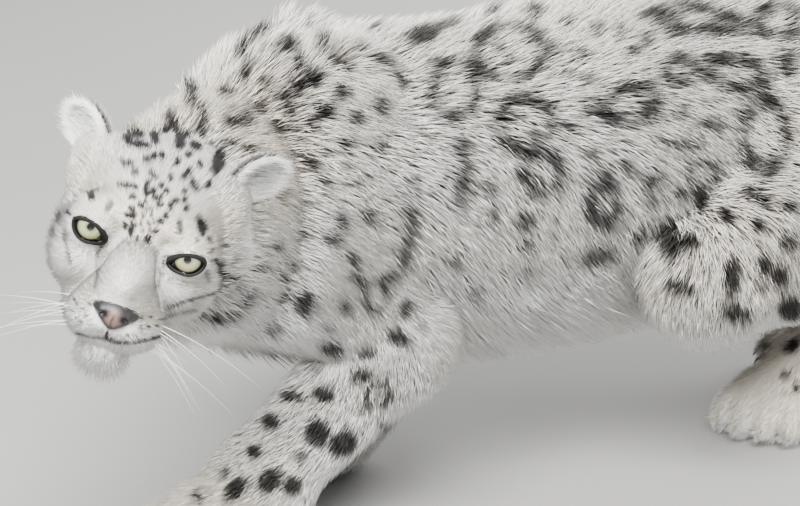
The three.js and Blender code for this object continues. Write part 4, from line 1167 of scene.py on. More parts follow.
def coat_colour_group():
    """The coat's colour from its markings, built once for skin and tufts; each hair is darker
    towards its root, partly the under-fur's own grey and partly painted shade of the coat's depth.
    """
    group = bpy.data.node_groups.new("Coat colour", "ShaderNodeTree")
    for name in ("Mark", "Warm", "White", "Tone", "Climb"):
        group.interface.new_socket(name, in_out="INPUT", socket_type="NodeSocketFloat")
    group.interface.new_socket("Colour", in_out="OUTPUT", socket_type="NodeSocketColor")
    inlet, outlet = group.nodes.new("NodeGroupInput"), group.nodes.new("NodeGroupOutput")
    settings = bpy.context.scene.leopard_coat
    grey, cream, white, dark = (
        (*getattr(settings, key), 1) for key in ("grey", "cream", "white", "dark")
    )
    ground = mixed(group, inlet.outputs["Warm"], grey, cream)
    ground = mixed(group, inlet.outputs["White"], ground, white)
    # Darker towards each hair's root: partly the under-fur's own grey, partly painted shade of the
    # coat's depth.
    grey_root_and_painted_shade = mixed(group, 1.0, ground, (0.50, 0.49, 0.47, 1), "MULTIPLY")
    climbed = arithmetic(group, "POWER", inlet.outputs["Climb"], 0.7, clamp=True)
    ground = mixed(group, climbed, grey_root_and_painted_shade, ground)
    bright = arithmetic(group, "MULTIPLY_ADD", inlet.outputs["Tone"], 0.11, 1.0)
    combined = group.nodes.new("ShaderNodeCombineColor")
    for i in range(3):
        group.links.new(bright, combined.inputs[i])
    ground = mixed(group, 1.0, ground, combined.outputs[0], "MULTIPLY")
    colour = mixed(group, inlet.outputs["Mark"], ground, dark)
    group.links.new(colour, outlet.inputs["Colour"])
    return group


def coat_material(name, roughness, climb=None):
    """Hair: the coat's colour by its attributes, dull, with a weak gloss."""
    material, tree, shader = new_material(name, roughness)
    made = tree.nodes.new("ShaderNodeGroup")
    made.node_tree = bpy.data.node_groups.get("Coat colour") or coat_colour_group()
    for key in ("Mark", "Warm", "White"):
        tree.links.new(attribute(tree, key.lower()), made.inputs[key])
    if climb is None:
        tree.links.new(attribute(tree, "climb"), made.inputs["Climb"])
        tree.links.new(attribute(tree, "tone"), made.inputs["Tone"])
    else:
        made.inputs["Climb"].default_value = climb
    tree.links.new(made.outputs["Colour"], shader.inputs["Base Color"])
    shader.inputs["Specular IOR Level"].default_value = 0.18
    return material, tree, shader


def skin_material():
    """Short under-fur: the coat's colour, a fine combed noise and a low bump."""
    # The under-fur takes a hair's colour a third of the way up, so it carries part of the roots'
    # grey and painted shade.
    material, tree, shader = coat_material("under_fur", 0.95, climb=0.35)
    roughen(tree, shader, object_noise(tree, 520.0, 4.0), 0.35, 0.0012)
    return material


class CoatSettings(bpy.types.PropertyGroup):
    """Sizes and colours of the coat."""

    cell: FloatProperty(
        name="Skin cell", description="Grid cell of the skin's surface", default=0.006,
        unit="LENGTH",
    )
    share: FloatProperty(
        name="Share of tufts", description="How many of the coat's tufts are made", default=1.0,
        min=0.02, max=1.0,
    )
    grey: FloatVectorProperty(
        name="Grey ground", description="Colour between the marks", subtype="COLOR",
        default=(0.80, 0.785, 0.755),
    )
    cream: FloatVectorProperty(
        name="Cream ground", description="Colour along the back and haunches", subtype="COLOR",
        default=(0.80, 0.72, 0.58),
    )
    white: FloatVectorProperty(
        name="White", description="Colour of the belly, chest and chin", subtype="COLOR",
        default=(0.92, 0.915, 0.90),
    )
    dark: FloatVectorProperty(
        name="Marks", description="Colour of the spots and rosettes", subtype="COLOR",
        default=(0.016, 0.014, 0.014),
    )


class FaceSettings(bpy.types.PropertyGroup):
    """Sizes and colours of the face."""

    iris: FloatVectorProperty(
        name="Iris", description="Colour of the eye's ring", subtype="COLOR",
        default=(0.40, 0.42, 0.24),
    )
    nose: FloatVectorProperty(
        name="Nose", description="Colour of the nose leather", subtype="COLOR",
        default=(0.23, 0.13, 0.115),
    )
    whisker: FloatProperty(
        name="Whisker length", description="Length of the longest whiskers", default=0.085,
        unit="LENGTH",
    )


class StageSettings(bpy.types.PropertyGroup):
    """The floor, light and camera."""

    light: FloatProperty(
        name="Light", description="Power of the large soft light", default=690.0, unit="POWER"
    )
    floor: FloatVectorProperty(
        name="Floor", description="Colour of the floor and backdrop", subtype="COLOR",
        default=(0.31, 0.305, 0.29),
    )


SKIN_BOX = ((-530.0, -345.0, -6.0), (1140.0, 215.0, 450.0))  # the grid that the skin is found in
HEAD_BACK, HEAD_REACH = -66, 120  # how far back and how far out the head's skin is cut finer


class LEOPARD_OT_skin(bpy.types.Operator):
    """Add the one skin under the whole coat"""

    bl_idname = "leopard.skin"
    bl_label = "Skin"

    def execute(self, context):
        cell = context.scene.leopard_coat.cell * 1000
        points, quads = surface(skin_field, *SKIN_BOX, cell)
        points = settle(skin_field, points)
        piece = new_mesh("skin", points, quads)
        refine_head(piece)
        finish_piece(piece, skin_material(), "coat", *FLESH)
        remember_skin(piece)
        points, normals, home = (STORE[key] for key in ("points", "normals", "home"))
        STORE["scattered"] = scatter_marks(points, normals, home)
        share = weights(region_fields(points))
        outer = points + normals * (0.6 * coat_depth(points, share))[:, None]
        set_value(piece, "mark", markings(outer, normals, home))
        set_value(piece, "warm", warmth(points, share))
        set_value(piece, "white", whiteness(points, normals, share))
        return {"FINISHED"}


def refine_head(piece):
    """Cuts the head's quads in three each way and lays the new points on the skin's surface."""
    bm = bmesh.new()
    bm.from_mesh(piece.data)
    middles = np.array([f.calc_center_median() for f in bm.faces]) * 1000 - SHIFT
    local = to_head(middles)
    wanted = (local[:, 1] > HEAD_BACK) & (np.abs(local).max(1) < HEAD_REACH)
    bm.faces.ensure_lookup_table()
    edges = {e for i in np.flatnonzero(wanted) for e in bm.faces[i].edges}
    edges = sorted(edges, key=lambda e: e.index)
    bmesh.ops.subdivide_edges(bm, edges=edges, cuts=2, use_grid_fill=True)
    bmesh.ops.triangulate(bm, faces=[f for f in bm.faces if len(f.verts) > 4])
    bm.to_mesh(piece.data)
    bm.free()
    count = len(piece.data.vertices)
    places = np.zeros(count * 3, np.float32)
    piece.data.vertices.foreach_get("co", places)
    p = places.reshape(-1, 3).astype(float) * 1000 - SHIFT
    local = to_head(p)
    near = (local[:, 1] > HEAD_BACK - 9) & (np.abs(local).max(1) < HEAD_REACH + 10)
    p[near] = settle(skin_field, p[near], rounds=3, most=1.5)
    piece.data.vertices.foreach_set("co", to_frame(p).astype(np.float32).ravel())
    piece.data.polygons.foreach_set("use_smooth", np.full(len(piece.data.polygons), True))
    piece.data.update()


def remember_skin(piece):
    """Keeps the skin's points, triangles, areas, normals and regions for the coat."""
    mesh = piece.data
    mesh.calc_loop_triangles()
    points = np.zeros(len(mesh.vertices) * 3, np.float32)
    mesh.vertices.foreach_get("co", points)
    points = points.reshape(-1, 3).astype(float) * 1000 - SHIFT
    tri = np.zeros(len(mesh.loop_triangles) * 3, np.int32)
    mesh.loop_triangles.foreach_get("vertices", tri)
    tri = tri.reshape(-1, 3)
    a, b, c = (points[tri[:, i]] for i in range(3))
    normals = unit(slope(skin_field, points, 1.5))
    STORE.update(
        points=points,
        tri=tri,
        area=np.linalg.norm(np.cross(b - a, c - a), axis=1) / 2,
        normals=normals,
        home=weights(region_fields(points)).argmax(0),
    )


def of_kind(*regions):
    """A test of whether triangles belong to some regions, as 1 or 0."""
    numbers = [REGIONS.index(region) for region in regions]
    return lambda middle, normal, home: np.isin(home, numbers).astype(float)


def trunk_part(side, low, high):
    """The trunk on one side between two distances along X."""
    def member(middle, normal, home):
        on = (home == TRUNK_REGION) & (middle[:, 0] >= low) & (middle[:, 0] < high)
        return (on & (middle[:, 1] * side > 0)).astype(float)
    return member


def on_head(front):
    """The face, or the rest of the head, clear of the eyes and nose."""
    def member(middle, normal, home):
        q = to_head(middle)
        on = (home == HEAD_REGION) & ((q[:, 1] > -28) == front)
        for side in (1, -1):
            off = (q - np.array([side * (EYE_GAP + 1), 6, -1])) / np.array([12.2, 22, 8.8])
            on &= (off**2).sum(1) > 1
        on &= ((q - np.array([0, 60, -34])) ** 2 / np.array([15, 14, 8.5]) ** 2).sum(1) > 1
        camera_side = 1 + 0.8 * ease(-0.2, 0.4, ((CAMERA - middle) * normal).sum(1) / 1800)
        return on * camera_side
    return member


# Pieces of the coat: tufts, where they grow, rings of corners, thickness and size of clumps
COAT = {
    "coat_flank_left_front": (17500, trunk_part(-1, -400, 60), 2, 1.0, 9),
    "coat_flank_left_rear": (17500, trunk_part(-1, 60, 600), 2, 1.0, 9),
    "coat_flank_right": (11500, trunk_part(1, -400, 600), 2, 1.1, 9),
    "coat_neck": (18000, of_kind("neck"), 2, 1.0, 8),
    "coat_shoulder_left": (14000, of_kind("foreleg_left_upper"), 2, 1.0, 8),
    "coat_thigh_left": (15000, of_kind("hindleg_left_upper"), 2, 1.0, 8),
    "coat_uppers_right": (8500, of_kind("foreleg_right_upper", "hindleg_right_upper"), 2, 1.1, 9),
    "coat_tail": (8500, of_kind("tail"), 2, 1.1, 9),
    "coat_lowers_left": (13000, of_kind("foreleg_left_lower", "hindleg_left_lower"), 2, 0.95, 5),
    "coat_lowers_right": (13000, of_kind("foreleg_right_lower", "hindleg_right_lower"), 1, 1.0, 5),
    "coat_paws": (30000, of_kind(*(f"{leg}_foot" for leg in LEGS)), 1, 0.95, 3),
}
FACE_COAT = {
    "coat_face": (42000, on_head(True), 1, 0.95, 2.5),
    "coat_head": (18500, on_head(False), 2, 0.9, 5),
}


def grow_all(table, context):
    """Grows the coat pieces of a table, each with a seed of its own."""
    material = bpy.data.materials.get("coat_hair") or coat_material("coat_hair", 0.72)[0]
    first_seed = 140 if table is FACE_COAT else 40
    for seed, (name, (count, *way)) in enumerate(table.items(), first_seed):
        member, rings, thick, clump = way
        made = int(count * context.scene.leopard_coat.share)
        piece = grow(name, made, member, seed, rings, thick, clump)
        finish_piece(piece, material, "coat")


class LEOPARD_OT_coat(bpy.types.Operator):
    """Add the long coat of the trunk, neck, tail, legs and paws"""

    bl_idname = "leopard.coat"
    bl_label = "Coat"

    def execute(self, context):
        grow_all(COAT, context)
        return {"FINISHED"}


class LEOPARD_OT_face_coat(bpy.types.Operator):
    """Add the short coat of the face and the longer coat of the head"""

    bl_idname = "leopard.face_coat"
    bl_label = "Face coat"

    def execute(self, context):
        grow_all(FACE_COAT, context)
        return {"FINISHED"}


def tidy(piece):
    """Merges doubled points, drops flat faces and turns all faces outwards."""
    bm = bmesh.new()
    bm.from_mesh(piece.data)
    bmesh.ops.remove_doubles(bm, verts=bm.verts, dist=1e-6)
    bmesh.ops.dissolve_degenerate(bm, edges=bm.edges, dist=1e-7)
    bmesh.ops.recalc_face_normals(bm, faces=bm.faces)
    bm.to_mesh(piece.data)
    bm.free()
    return piece


def gaze(side):
    """The way an eye looks: forward, and most of the way to the camera."""
    eye = from_head((side * EYE_GAP, EYE_BACK, 0))
    return unit(0.25 * HEAD[1] + 0.75 * unit(CAMERA - eye) - 0.05 * HEAD[2])


def eye_axes(side):
    """Across, up and out of an eye, turned with its gaze."""
    out = gaze(side)
    across = unit(np.cross(HEAD[2], out))
    return np.array([across, np.cross(out, across), out])


def lid_axes(side):
    """Across, up and out of an eye's opening: mostly forward, a little to the side, and tilted."""
    out = unit(0.72 * HEAD[1] + 0.28 * gaze(side) + 0.10 * side * HEAD[0])
    across = unit(HEAD[0] - (HEAD[0] @ out) * out)
    up = np.cross(out, across)
    up = up if up @ HEAD[2] > 0 else -up
    tilt = radians(7) * side
    return np.array([across * cos(tilt) + up * sin(tilt), up * cos(tilt) - across * sin(tilt), out])


def eyeball_points(side):
    """A ball with a low clear bulge over the iris: the radius grows by a bell of the angle from
    the gaze."""
    polar, turn = wrap_grid(*EYE_GRID, pi)
    radius = (EYEBALL - 0.3) + 1.1 * np.exp(-((polar / 0.52) ** 4))
    off = np.sin(polar)
    local = np.stack([off * np.cos(turn), off * np.sin(turn), np.cos(polar)], -1)
    local = (local * radius[..., None]).reshape(-1, 3)
    centre = from_head((side * EYE_GAP, EYE_BACK, 0))
    return centre + local @ eye_axes(side), polar.ravel(), turn.ravel()


def eye_material():
    """A round pupil, a pale fibrous iris with a dark rim, a painted shadow of the upper lid that
    makes its top darker and greyer, and a clear wet coat.
    """
    material, tree, shader = new_material("eye_wet", 0.12)
    polar = attribute(tree, "polar")
    ramp = tree.nodes.new("ShaderNodeValToRGB")
    colour = bpy.context.scene.leopard_face.iris
    stops = [(0.0, (0.004, 0.004, 0.004)), (0.10, (0.005, 0.005, 0.005))]
    for place, bright in ((0.118, 0.5), (0.22, 1.15), (0.37, 0.85), (0.42, 0.3)):
        stops.append((place, [bright * c for c in colour]))
    stops += [(0.46, (0.012, 0.010, 0.009)), (1.0, (0.04, 0.03, 0.027))]
    elements = ramp.color_ramp.elements
    elements[0].position, elements[0].color = stops[0][0], (*stops[0][1], 1)
    elements[1].position, elements[1].color = stops[-1][0], (*stops[-1][1], 1)
    for position, value in stops[1:-1]:
        elements.new(position).color = (*value, 1)
    tree.links.new(arithmetic(tree, "DIVIDE", polar, pi / 2), ramp.inputs["Fac"])
    fibres = node(tree, "ShaderNodeTexNoise", Scale=9.0, Detail=3.0)
    fibres.noise_dimensions = "2D"
    way = tree.nodes.new("ShaderNodeCombineXYZ")
    tree.links.new(arithmetic(tree, "MULTIPLY", attribute(tree, "turn"), 3.2), way.inputs[0])
    tree.links.new(polar, way.inputs[1])
    tree.links.new(way.outputs[0], fibres.inputs["Vector"])
    shade = mixed(tree, 0.35, ramp.outputs["Color"], fibres.outputs["Fac"], "OVERLAY")
    # Painted shadow of the upper lid: the eye is darker and blue-grey towards its top and pale
    # yellow towards its bottom.
    height = arithmetic(tree, "SINE", attribute(tree, "turn"))
    lower = arithmetic(tree, "MULTIPLY_ADD", height, -0.5, 0.5, clamp=True)
    lid_shadow_tint = mixed(tree, lower, (0.52, 0.62, 0.66, 1), (1.0, 0.97, 0.82, 1))
    shade = mixed(tree, 1.0, shade, lid_shadow_tint, "MULTIPLY")
    tree.links.new(shade, shader.inputs["Base Color"])
    shader.inputs["Coat Weight"].default_value = 1.0
    shader.inputs["Coat Roughness"].default_value = 0.02
    return material


def lid_points(side):
    """A narrow rim round an eye: rows run from the almond opening out under the skin. The radius
    climbs over the rim, then sinks. The almond is an ellipse, flatter above than below, drawn
    down and out to its inner corner."""
    s, turn = wrap_grid(*LID_GRID)
    inner, outer = np.clip(-np.cos(turn), 0, 1), np.clip(np.cos(turn), 0, 1)
    half, above, below = ALMOND
    x = half * np.cos(turn) - 2.2 * inner**3 + 0.8 * outer**4
    y = np.where(np.sin(turn) > 0, above, below) * np.sin(turn)
    y = y - 0.8 - 3.0 * inner**3 + 0.9 * outer**2
    x, y = x * (1 + 0.22 * s) - 2.8 * s * inner**3, y * (1 + 0.28 * s) - 1.8 * s * inner**3
    radius = EYEBALL + 0.3 + 1.1 * ease(0, 0.3, s) - 3.2 * ease(0.32, 1, s)
    z = np.sqrt(np.maximum(radius**2 - x**2 - y**2, 4))
    local = np.stack([side * x, y, z], -1).reshape(-1, 3)
    centre = from_head((side * EYE_GAP, EYE_BACK, 0))
    return centre + local @ lid_axes(side), s.ravel()


def lid_material():
    """Black bare rims, wet at the eye and dull away from it."""
    material, tree, shader = new_material("eyelid", 0.45)
    way = attribute(tree, "way_out")
    shade = mixed(tree, way, (0.006, 0.005, 0.005, 1), (0.014, 0.012, 0.011, 1))
    tree.links.new(shade, shader.inputs["Base Color"])
    shader.inputs["Specular IOR Level"].default_value = 0.2
    rough = node(tree, "ShaderNodeMapRange", Value=way)
    rough.inputs["From Max"].default_value = 0.4
    rough.inputs["To Min"].default_value = 0.35
    rough.inputs["To Max"].default_value = 0.85
    tree.links.new(rough.outputs[0], shader.inputs["Roughness"])
    roughen(tree, shader, object_noise(tree, 900.0), 0.3, 0.0006)
    return material


class LEOPARD_OT_eyes(bpy.types.Operator):
    """Add the two eyes and their lids"""

    bl_idname = "leopard.eyes"
    bl_label = "Eyes"

    def execute(self, context):
        for name, side in (("left", 1), ("right", -1)):
            points, polar, turn = eyeball_points(side)
            ball = new_mesh(f"eye_ball_{name}", points, grid_faces(*EYE_GRID))
            set_value(ball, "polar", polar)
            set_value(ball, "turn", turn)
            tidy(ball)
            material = bpy.data.materials.get("eye_wet") or eye_material()
            finish_piece(ball, material, "eye", f"eye_{name}")
            points, way_out = lid_points(side)
            lids = new_mesh(f"eyelids_{name}", points, grid_faces(*LID_GRID))
            set_value(lids, "way_out", way_out)
            wall = lids.modifiers.new("Wall", "SOLIDIFY")
            wall.thickness = 0.0009
            wall.offset = -side
            finish_piece(lids, bpy.data.materials.get("eyelid") or lid_material(), "coat")
        return {"FINISHED"}


def nose_points():
    """The nose leather: a broad egg that narrows downwards, with two dented nostrils that open to
    the sides, a groove down its middle and a fold above."""
    polar, turn = wrap_grid(*NOSE_GRID, pi)
    l = np.sin(polar) * np.cos(turn)
    u = np.sin(polar) * np.sin(turn)
    f = np.cos(polar)
    narrow = np.where(u < 0, 1 + 0.62 * u, 1 - 0.10 * u**2)
    left, up = 17.5 * l * narrow, np.where(u < 0, 12.5, 9.5) * u
    ahead = 10.5 * f - 0.012 * left**2 - 0.14 * up
    front = ease(-0.1, 0.5, f)
    for side in (1, -1):
        slant = up + 1.2 + 0.35 * (side * left - NOSTRIL)
        hole = np.exp(-(((left - side * NOSTRIL) / 3.4) ** 2) - (slant / 2.3) ** 2)
        ahead = ahead - 4.2 * hole * front
        wing = np.exp(-(((left - side * 11.4) / 2.6) ** 2) - ((up - 1.5) / 4.2) ** 2)
        ahead = ahead + 0.9 * wing * front
    ahead = ahead - 1.8 * np.exp(-((left / 1.1) ** 2)) * ease(3, -3, up) * front
    places = np.stack([left, NOSE_AT[0] + ahead, NOSE_AT[1] + up], -1).reshape(-1, 3)
    return from_head(places)


def nose_material():
    """Moist leather: pinkish in the middle, nearly black at its rim, and nearly black in the
    nostrils as painted shade of their openings.
    """
    material, tree, shader = new_material("nose_leather", 0.42)
    colour = (*bpy.context.scene.leopard_face.nose, 1)
    place = tree.nodes.new("ShaderNodeTexCoord")
    cells = node(tree, "ShaderNodeTexVoronoi", Vector=place.outputs["Object"], Scale=1300.0)
    worn = mixed(tree, object_noise(tree, 120.0, 3.0), colour, (0.07, 0.045, 0.042, 1))
    shade = mixed(tree, attribute(tree, "rim_and_nostril_shade"), worn, (0.012, 0.010, 0.010, 1))
    tree.links.new(shade, shader.inputs["Base Color"])
    roughen(tree, shader, cells.outputs["Distance"], 0.45, 0.0005)
    shader.inputs["Coat Weight"].default_value = 0.25
    shader.inputs["Coat Roughness"].default_value = 0.3
    return material


def whisker_points(rng, reach, sides=6, rings=14):
    """Thin tapered tubes on a bent line from rows on the whisker pads."""
    points, faces = [], []
    starts = [
        (side, 17 + 5.5 * column, 47 - 4.5 * column, -40 - 6.5 * row)
        for side in (1, -1) for row in range(3) for column in range(4)
    ]
    t = np.linspace(0, 1, rings)
    for side, left, forward, up in starts:
        root = np.array([side * left, forward, up], float)
        outward, ahead = side * rng.uniform(0.85, 1.0), rng.uniform(-0.05, 0.35)
        way = unit(np.array([outward, ahead, rng.uniform(-0.55, 0.05)]))
        long = reach * rng.uniform(0.45, 1.0) * (1.0 if side > 0 else 0.8)
        sag = np.array([0, -0.25, -0.30]) * long
        line_points = root + way * long * t[:, None] + sag * (t**2)[:, None]
        across = unit(np.cross(way, [0, 0, 1.0]))
        upright = np.cross(across, way)
        faces.append(grid_faces(rings, sides) + len(points) * rings * sides)
        points.append(tube(line_points, across, upright, 0.34 * (1 - 0.88 * t), sides))
    return from_head(np.concatenate(points)), np.concatenate(faces)


def close_ends(piece):
    """Fills the open ends of tubes and turns the faces outwards."""
    bm = bmesh.new()
    bm.from_mesh(piece.data)
    bmesh.ops.holes_fill(bm, edges=bm.edges, sides=12)
    bmesh.ops.recalc_face_normals(bm, faces=bm.faces)
    bm.to_mesh(piece.data)
    bm.free()


class LEOPARD_OT_nose(bpy.types.Operator):
    """Add the nose leather and the whiskers"""

    bl_idname = "leopard.nose"
    bl_label = "Nose and whiskers"

    def execute(self, context):
        points = nose_points()
        nose = new_mesh("nose", points, grid_faces(*NOSE_GRID))
        q = to_head(points)
        middle = np.hypot(q[:, 0] / 8, (q[:, 2] + 32) / 8)
        rim_and_nostril_shade = np.maximum(ease(0.5, 1.0, middle), ease(62, 58, q[:, 1]))
        # The nostrils are painted near-black as painted shade of their openings, on top of the
        # leather's own dark rim.
        for side in (1, -1):
            off = ((q[:, 0] - side * NOSTRIL) / 3.2) ** 2 + ((q[:, 2] + 32.2) / 2.4) ** 2
            hole = np.exp(-off)
            rim_and_nostril_shade = np.maximum(rim_and_nostril_shade, np.clip(1.5 * hole, 0, 1))
        set_value(nose, "rim_and_nostril_shade", np.clip(rim_and_nostril_shade, 0, 1))
        tidy(nose)
        finish_piece(nose, nose_material(), "nose_skin", "nose_leather")
        reach = context.scene.leopard_face.whisker * 1000
        points, faces = whisker_points(np.random.default_rng(77), reach)
        whiskers = new_mesh("whiskers", points, faces)
        close_ends(whiskers)
        pale = speckled("whisker", 0.35, 40.0, 2.0, (0.85, 0.84, 0.80), (0.62, 0.60, 0.56))
        finish_piece(whiskers, pale, "coat")
        return {"FINISHED"}


def ear_frame(side):
    """Where an ear stands: its root, and its ways across, along and out of its cup."""
    flip = np.array([side, 1, 1])
    moved = {1: np.array([0, 0, 3.0]), -1: np.array([4.0, 0, -4.0])}[side]
    along = unit(flip * EAR["along"])
    facing = unit(flip * EAR["open"] - (flip * EAR["open"] @ along) * along)
    axes = np.array([np.cross(along, facing), along, facing]) @ HEAD
    return from_head(flip * EAR["root"] + moved), axes


def ear_bowl(angle, turn, inset):
    """Places on a half egg, by the angle from its deepest point and the turn round it, drawn in
    by so many millimetres."""
    wide, tall, deep = EAR_RADII
    return np.stack([
        (wide - inset) * np.sin(angle) * np.cos(turn),
        EAR_MIDDLE + (tall - inset) * np.sin(angle) * np.sin(turn),
        EAR_LIFT - (deep - inset) * np.cos(angle),
    ], -1)


def ear_points(side):
    """An egg-shaped bowl: the back bulges out by a quarter wave from the rim, and the cup sinks in
    from it with a smaller one."""
    s, turn = wrap_grid(*EAR_GRID)
    back = s < 0.5
    angle = np.where(back, s * 2, 2 - s * 2) * pi / 2
    root, axes = ear_frame(side)
    local = ear_bowl(angle, turn, np.where(back, 0, EAR_WALL))
    return root + local.reshape(-1, 3) @ axes


def ear_tufts(side, seed, count=5200):
    """Hair of an ear: the back is short and lies to the tip, and long pale hair rises from the
    cup's front edge over its hollow. Each is a three-sided blade."""
    rng = np.random.default_rng(seed)
    root, axes = ear_frame(side)
    inner = rng.random(count) < 0.55
    turn, s = rng.uniform(0, 2 * pi, count), np.sqrt(rng.random(count))
    angle = s * pi / 2
    local = ear_bowl(angle, turn, np.where(inner, EAR_WALL, 0))
    out = np.stack([np.sin(angle) * np.cos(turn), np.sin(angle) * np.sin(turn), -np.cos(angle)], 1)
    out = np.where(inner[:, None], -out * np.array([0.5, 0.5, 1]), out)
    even = np.ones(count)
    in_cup = np.stack([0.5 * np.cos(turn), 0.9 * even, 0.55 * even], 1)
    on_back = np.stack([0.35 * np.cos(turn), even, 0 * even], 1)
    lie = np.where(inner[:, None], in_cup, on_back)
    lie = unit(lie + rng.normal(0, 0.16, (count, 3)))
    long = np.where(inner, rng.uniform(8, 18, count), rng.uniform(4, 8, count))
    tip = local + unit(lie + 0.35 * unit(out)) * long[:, None]
    across = unit(np.cross(lie, out)) * 0.4
    corners = np.stack([local - across, local + across, local + 0.5 * unit(out), tip], 1)
    points = root + corners.reshape(-1, 3) @ axes
    dark = np.where(inner, 0.0, 0.75 * ease(0.55, 0.9, s) + 0.1)
    return points, dark, inner, np.stack([turn / (2 * pi), s], 1)


class LEOPARD_OT_ears(bpy.types.Operator):
    """Add the ears and the hair on them"""

    bl_idname = "leopard.ears"
    bl_label = "Ears"

    def execute(self, context):
        hair = bpy.data.materials.get("coat_hair") or coat_material("coat_hair", 0.72)[0]
        for name, side in (("left", 1), ("right", -1)):
            points = ear_points(side)
            ear = new_mesh(f"ear_shell_{name}", points, grid_faces(*EAR_GRID))
            rows, columns = EAR_GRID
            cup = np.repeat(np.linspace(0, 1, rows) > 0.5, columns)
            set_value(ear, "mark", np.where(cup, 0.25, 0.55))
            set_value(ear, "warm", np.full(len(points), 0.3))
            set_value(ear, "white", cup * 0.6)
            tidy(ear)
            finish_piece(ear, bpy.data.materials["under_fur"], "ear_coat", f"ear_{name}")
            points, dark, inner, uv = ear_tufts(side, 300 + side)
            faces = blade_faces(1, len(dark))
            tufts = new_mesh(f"coat_ear_{name}", points, faces)
            patch = PATCH * np.array([(-0.5, 0), (0.5, 0), (0, 0.2), (0, 1)])
            set_patches(tufts, (CHART_EDGE + CHART_SPAN * uv)[:, None] + patch[None], faces)
            for key, values in (
                ("mark", dark), ("warm", 0.15 + 0 * dark), ("white", inner * 0.9),
                ("tone", np.random.default_rng(9).normal(0, 0.6, len(dark))),
            ):
                set_value(tufts, key, np.repeat(values, 4))
            set_value(tufts, "climb", np.tile([0.3, 0.3, 0.3, 1.0], len(dark)))
            finish_piece(tufts, hair, "ear_coat")
        return {"FINISHED"}


CLAW_LONG, CLAW_DROP, CLAW_RADIUS = 11, 10, 2.3


def claw_points(leg, side, rings=12, sides=10):
    """A claw: a tapered tube bent down along a quarter circle at the front of a toe."""
    point = unit(np.array([*leg["toes"], 0.0]))
    across, up = np.array([-point[1], point[0], 0]), np.array([0, 0, 1.0])
    forward = toe_middle(side) + 22
    root = np.array([*leg["paw"], 0.0]) + across * side + point * forward + up * 19
    t = np.linspace(0, 1, rings)
    bend = t * radians(75)
    ahead, down = CLAW_LONG * np.sin(bend), CLAW_DROP * (1 - np.cos(bend))
    middles = root + point * ahead[:, None] - up * down[:, None]
    out = point * np.sin(bend)[:, None] + up * np.cos(bend)[:, None]
    radius = CLAW_RADIUS * (1 - t) ** 0.7 + 0.05
    return tube(middles, across, out[:, None], radius, sides, flat=0.65), grid_faces(rings, sides)


class LEOPARD_OT_claws(bpy.types.Operator):
    """Add the four claws of each paw, mostly hidden in the fur"""

    bl_idname = "leopard.claws"
    bl_label = "Claws"

    def execute(self, context):
        horn = speckled("claw", 0.35, 260.0, 3.0, (0.10, 0.085, 0.07), (0.36, 0.31, 0.25))
        for name, leg in LEGS.items():
            points, faces = zip(*(claw_points(leg, side) for side in TOE_SIDES))
            begins = np.cumsum([0] + [len(p) for p in points[:-1]])
            joined = np.concatenate([f + begin for f, begin in zip(faces, begins)])
            claws = new_mesh(f"claws_{name}", np.concatenate(points), joined)
            close_ends(claws)
            finish_piece(claws, horn, "pale_coat")
        return {"FINISHED"}


class LEOPARD_OT_stage(bpy.types.Operator):
    """Add the floor, the soft light and the camera"""

    bl_idname = "leopard.stage"
    bl_label = "Stage"

    def execute(self, context):
        settings = context.scene.leopard_stage
        add_floor(settings)
        add_lights(settings)
        add_camera()
        return {"FINISHED"}


# The floor, in millimetres: half its width, from its near edge to its bend, how far on the bend
# goes, its height, and the share of its rows that is level
FLOOR_HALF, FLOOR_NEAR, FLOOR_LEVEL, FLOOR_BEND, FLOOR_HIGH = 9000, -7000, 14000, 3000, 6000
FLOOR_ROWS, FLOOR_COLUMNS, LEVEL_SHARE = 60, 25, 0.7


def add_floor(settings):
    """A level sheet that curves up far behind the animal by a quarter wave."""
    across = np.linspace(-FLOOR_HALF, FLOOR_HALF, FLOOR_COLUMNS)
    run = np.linspace(0, 1, FLOOR_ROWS)
    bend = np.clip((run - LEVEL_SHARE) / (1 - LEVEL_SHARE), 0, 1)
    level = FLOOR_LEVEL * np.minimum(run, LEVEL_SHARE) / LEVEL_SHARE
    depth = FLOOR_NEAR + level + FLOOR_BEND * np.sin(bend * pi / 2)
    height = FLOOR_HIGH * (1 - np.cos(bend * pi / 2))
    x, d = np.meshgrid(across, depth)
    _, z = np.meshgrid(across, height)
    back = np.array([LOOK[0], LOOK[1], 0]) / np.hypot(LOOK[0], LOOK[1])
    points = x[..., None] * RIGHT + d[..., None] * back + z[..., None] * np.array([0, 0, 1])
    faces = grid_faces(FLOOR_ROWS, FLOOR_COLUMNS, wrap=False)
    floor = new_mesh("floor", points.reshape(-1, 3), faces)
    colour = settings.floor
    paper = speckled("floor_paper", 0.9, 3.0, 5.0, colour, [0.96 * c for c in colour])
    floor.data.materials.append(paper)


def add_lights(settings):
    """One large light above the camera's side, a weaker one opposite, and a pale world."""
    world = bpy.data.worlds.new("Studio")
    world.use_nodes = True
    world.node_tree.nodes["Background"].inputs["Color"].default_value = (0.86, 0.90, 0.96, 1)
    world.node_tree.nodes["Background"].inputs["Strength"].default_value = 0.56
    bpy.context.scene.world = world
    target = to_frame((-50, 0, 220))
    for name, place, power, size in (
        ("key", (-1500, -2200, 3000), settings.light, 2.6),
        ("fill", (2400, 1500, 2200), settings.light * 0.35, 3.0),
    ):
        light = bpy.data.lights.new(name, "AREA")
        light.energy, light.size = power, size
        lamp = bpy.data.objects.new(name, light)
        lamp.location = to_frame(place)
        way = Vector(target) - lamp.location
        lamp.rotation_euler = way.to_track_quat("-Z", "Y").to_euler()
        bpy.context.scene.collection.objects.link(lamp)


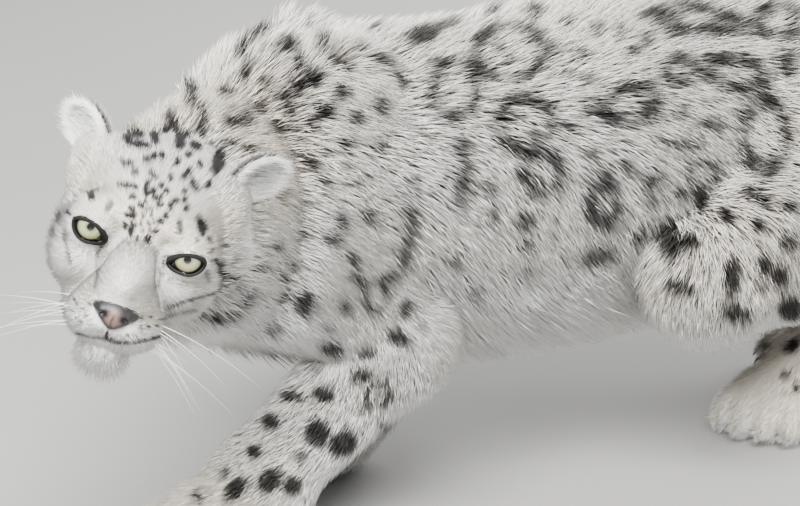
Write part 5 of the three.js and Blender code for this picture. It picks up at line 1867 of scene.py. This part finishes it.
def add_camera():
    """The photograph's camera: its focal length in millimetres is the one in pixels times the
    sensor's width over the frame's."""
    data = bpy.data.cameras.new("camera")
    data.sensor_width = SENSOR
    data.lens = SENSOR * PHOTO_FOCAL / PHOTO_WIDE
    camera = bpy.data.objects.new("camera", data)
    turn = np.array([RIGHT, ABOVE, -LOOK]).T
    matrix = Matrix(turn.tolist()).to_4x4()
    matrix.translation = to_frame(CAMERA)
    camera.matrix_world = matrix
    bpy.context.scene.collection.objects.link(camera)
    bpy.context.scene.camera = camera


OPERATORS = [
    LEOPARD_OT_skin,
    LEOPARD_OT_coat,
    LEOPARD_OT_face_coat,
    LEOPARD_OT_eyes,
    LEOPARD_OT_nose,
    LEOPARD_OT_ears,
    LEOPARD_OT_claws,
    LEOPARD_OT_stage,
]


class LEOPARD_PT_panel(bpy.types.Panel):
    """Lists the pieces of the leopard"""

    bl_label = "Snow leopard"
    bl_idname = "LEOPARD_PT_panel"
    bl_space_type = "VIEW_3D"
    bl_region_type = "UI"
    bl_category = "Leopard"

    def draw(self, context):
        for operator in OPERATORS:
            self.layout.operator(operator.bl_idname)
        for settings in ("leopard_coat", "leopard_face", "leopard_stage"):
            group = getattr(context.scene, settings)
            for name in group.__annotations__:
                self.layout.prop(group, name)


SETTINGS = {
    "leopard_coat": CoatSettings,
    "leopard_face": FaceSettings,
    "leopard_stage": StageSettings,
}


def register():
    for name, settings in SETTINGS.items():
        bpy.utils.register_class(settings)
        setattr(bpy.types.Scene, name, PointerProperty(type=settings))
    for one in [*OPERATORS, LEOPARD_PT_panel]:
        bpy.utils.register_class(one)


def unregister():
    for one in reversed([*OPERATORS, LEOPARD_PT_panel]):
        bpy.utils.unregister_class(one)
    for name, settings in SETTINGS.items():
        delattr(bpy.types.Scene, name)
        bpy.utils.unregister_class(settings)


def main():
    register()
    bpy.ops.leopard.stage()
    bpy.ops.leopard.skin()
    bpy.ops.leopard.coat()
    bpy.ops.leopard.face_coat()
    bpy.ops.leopard.eyes()
    bpy.ops.leopard.nose()
    bpy.ops.leopard.ears()
    bpy.ops.leopard.claws()


if __name__ == "__main__":
    main()
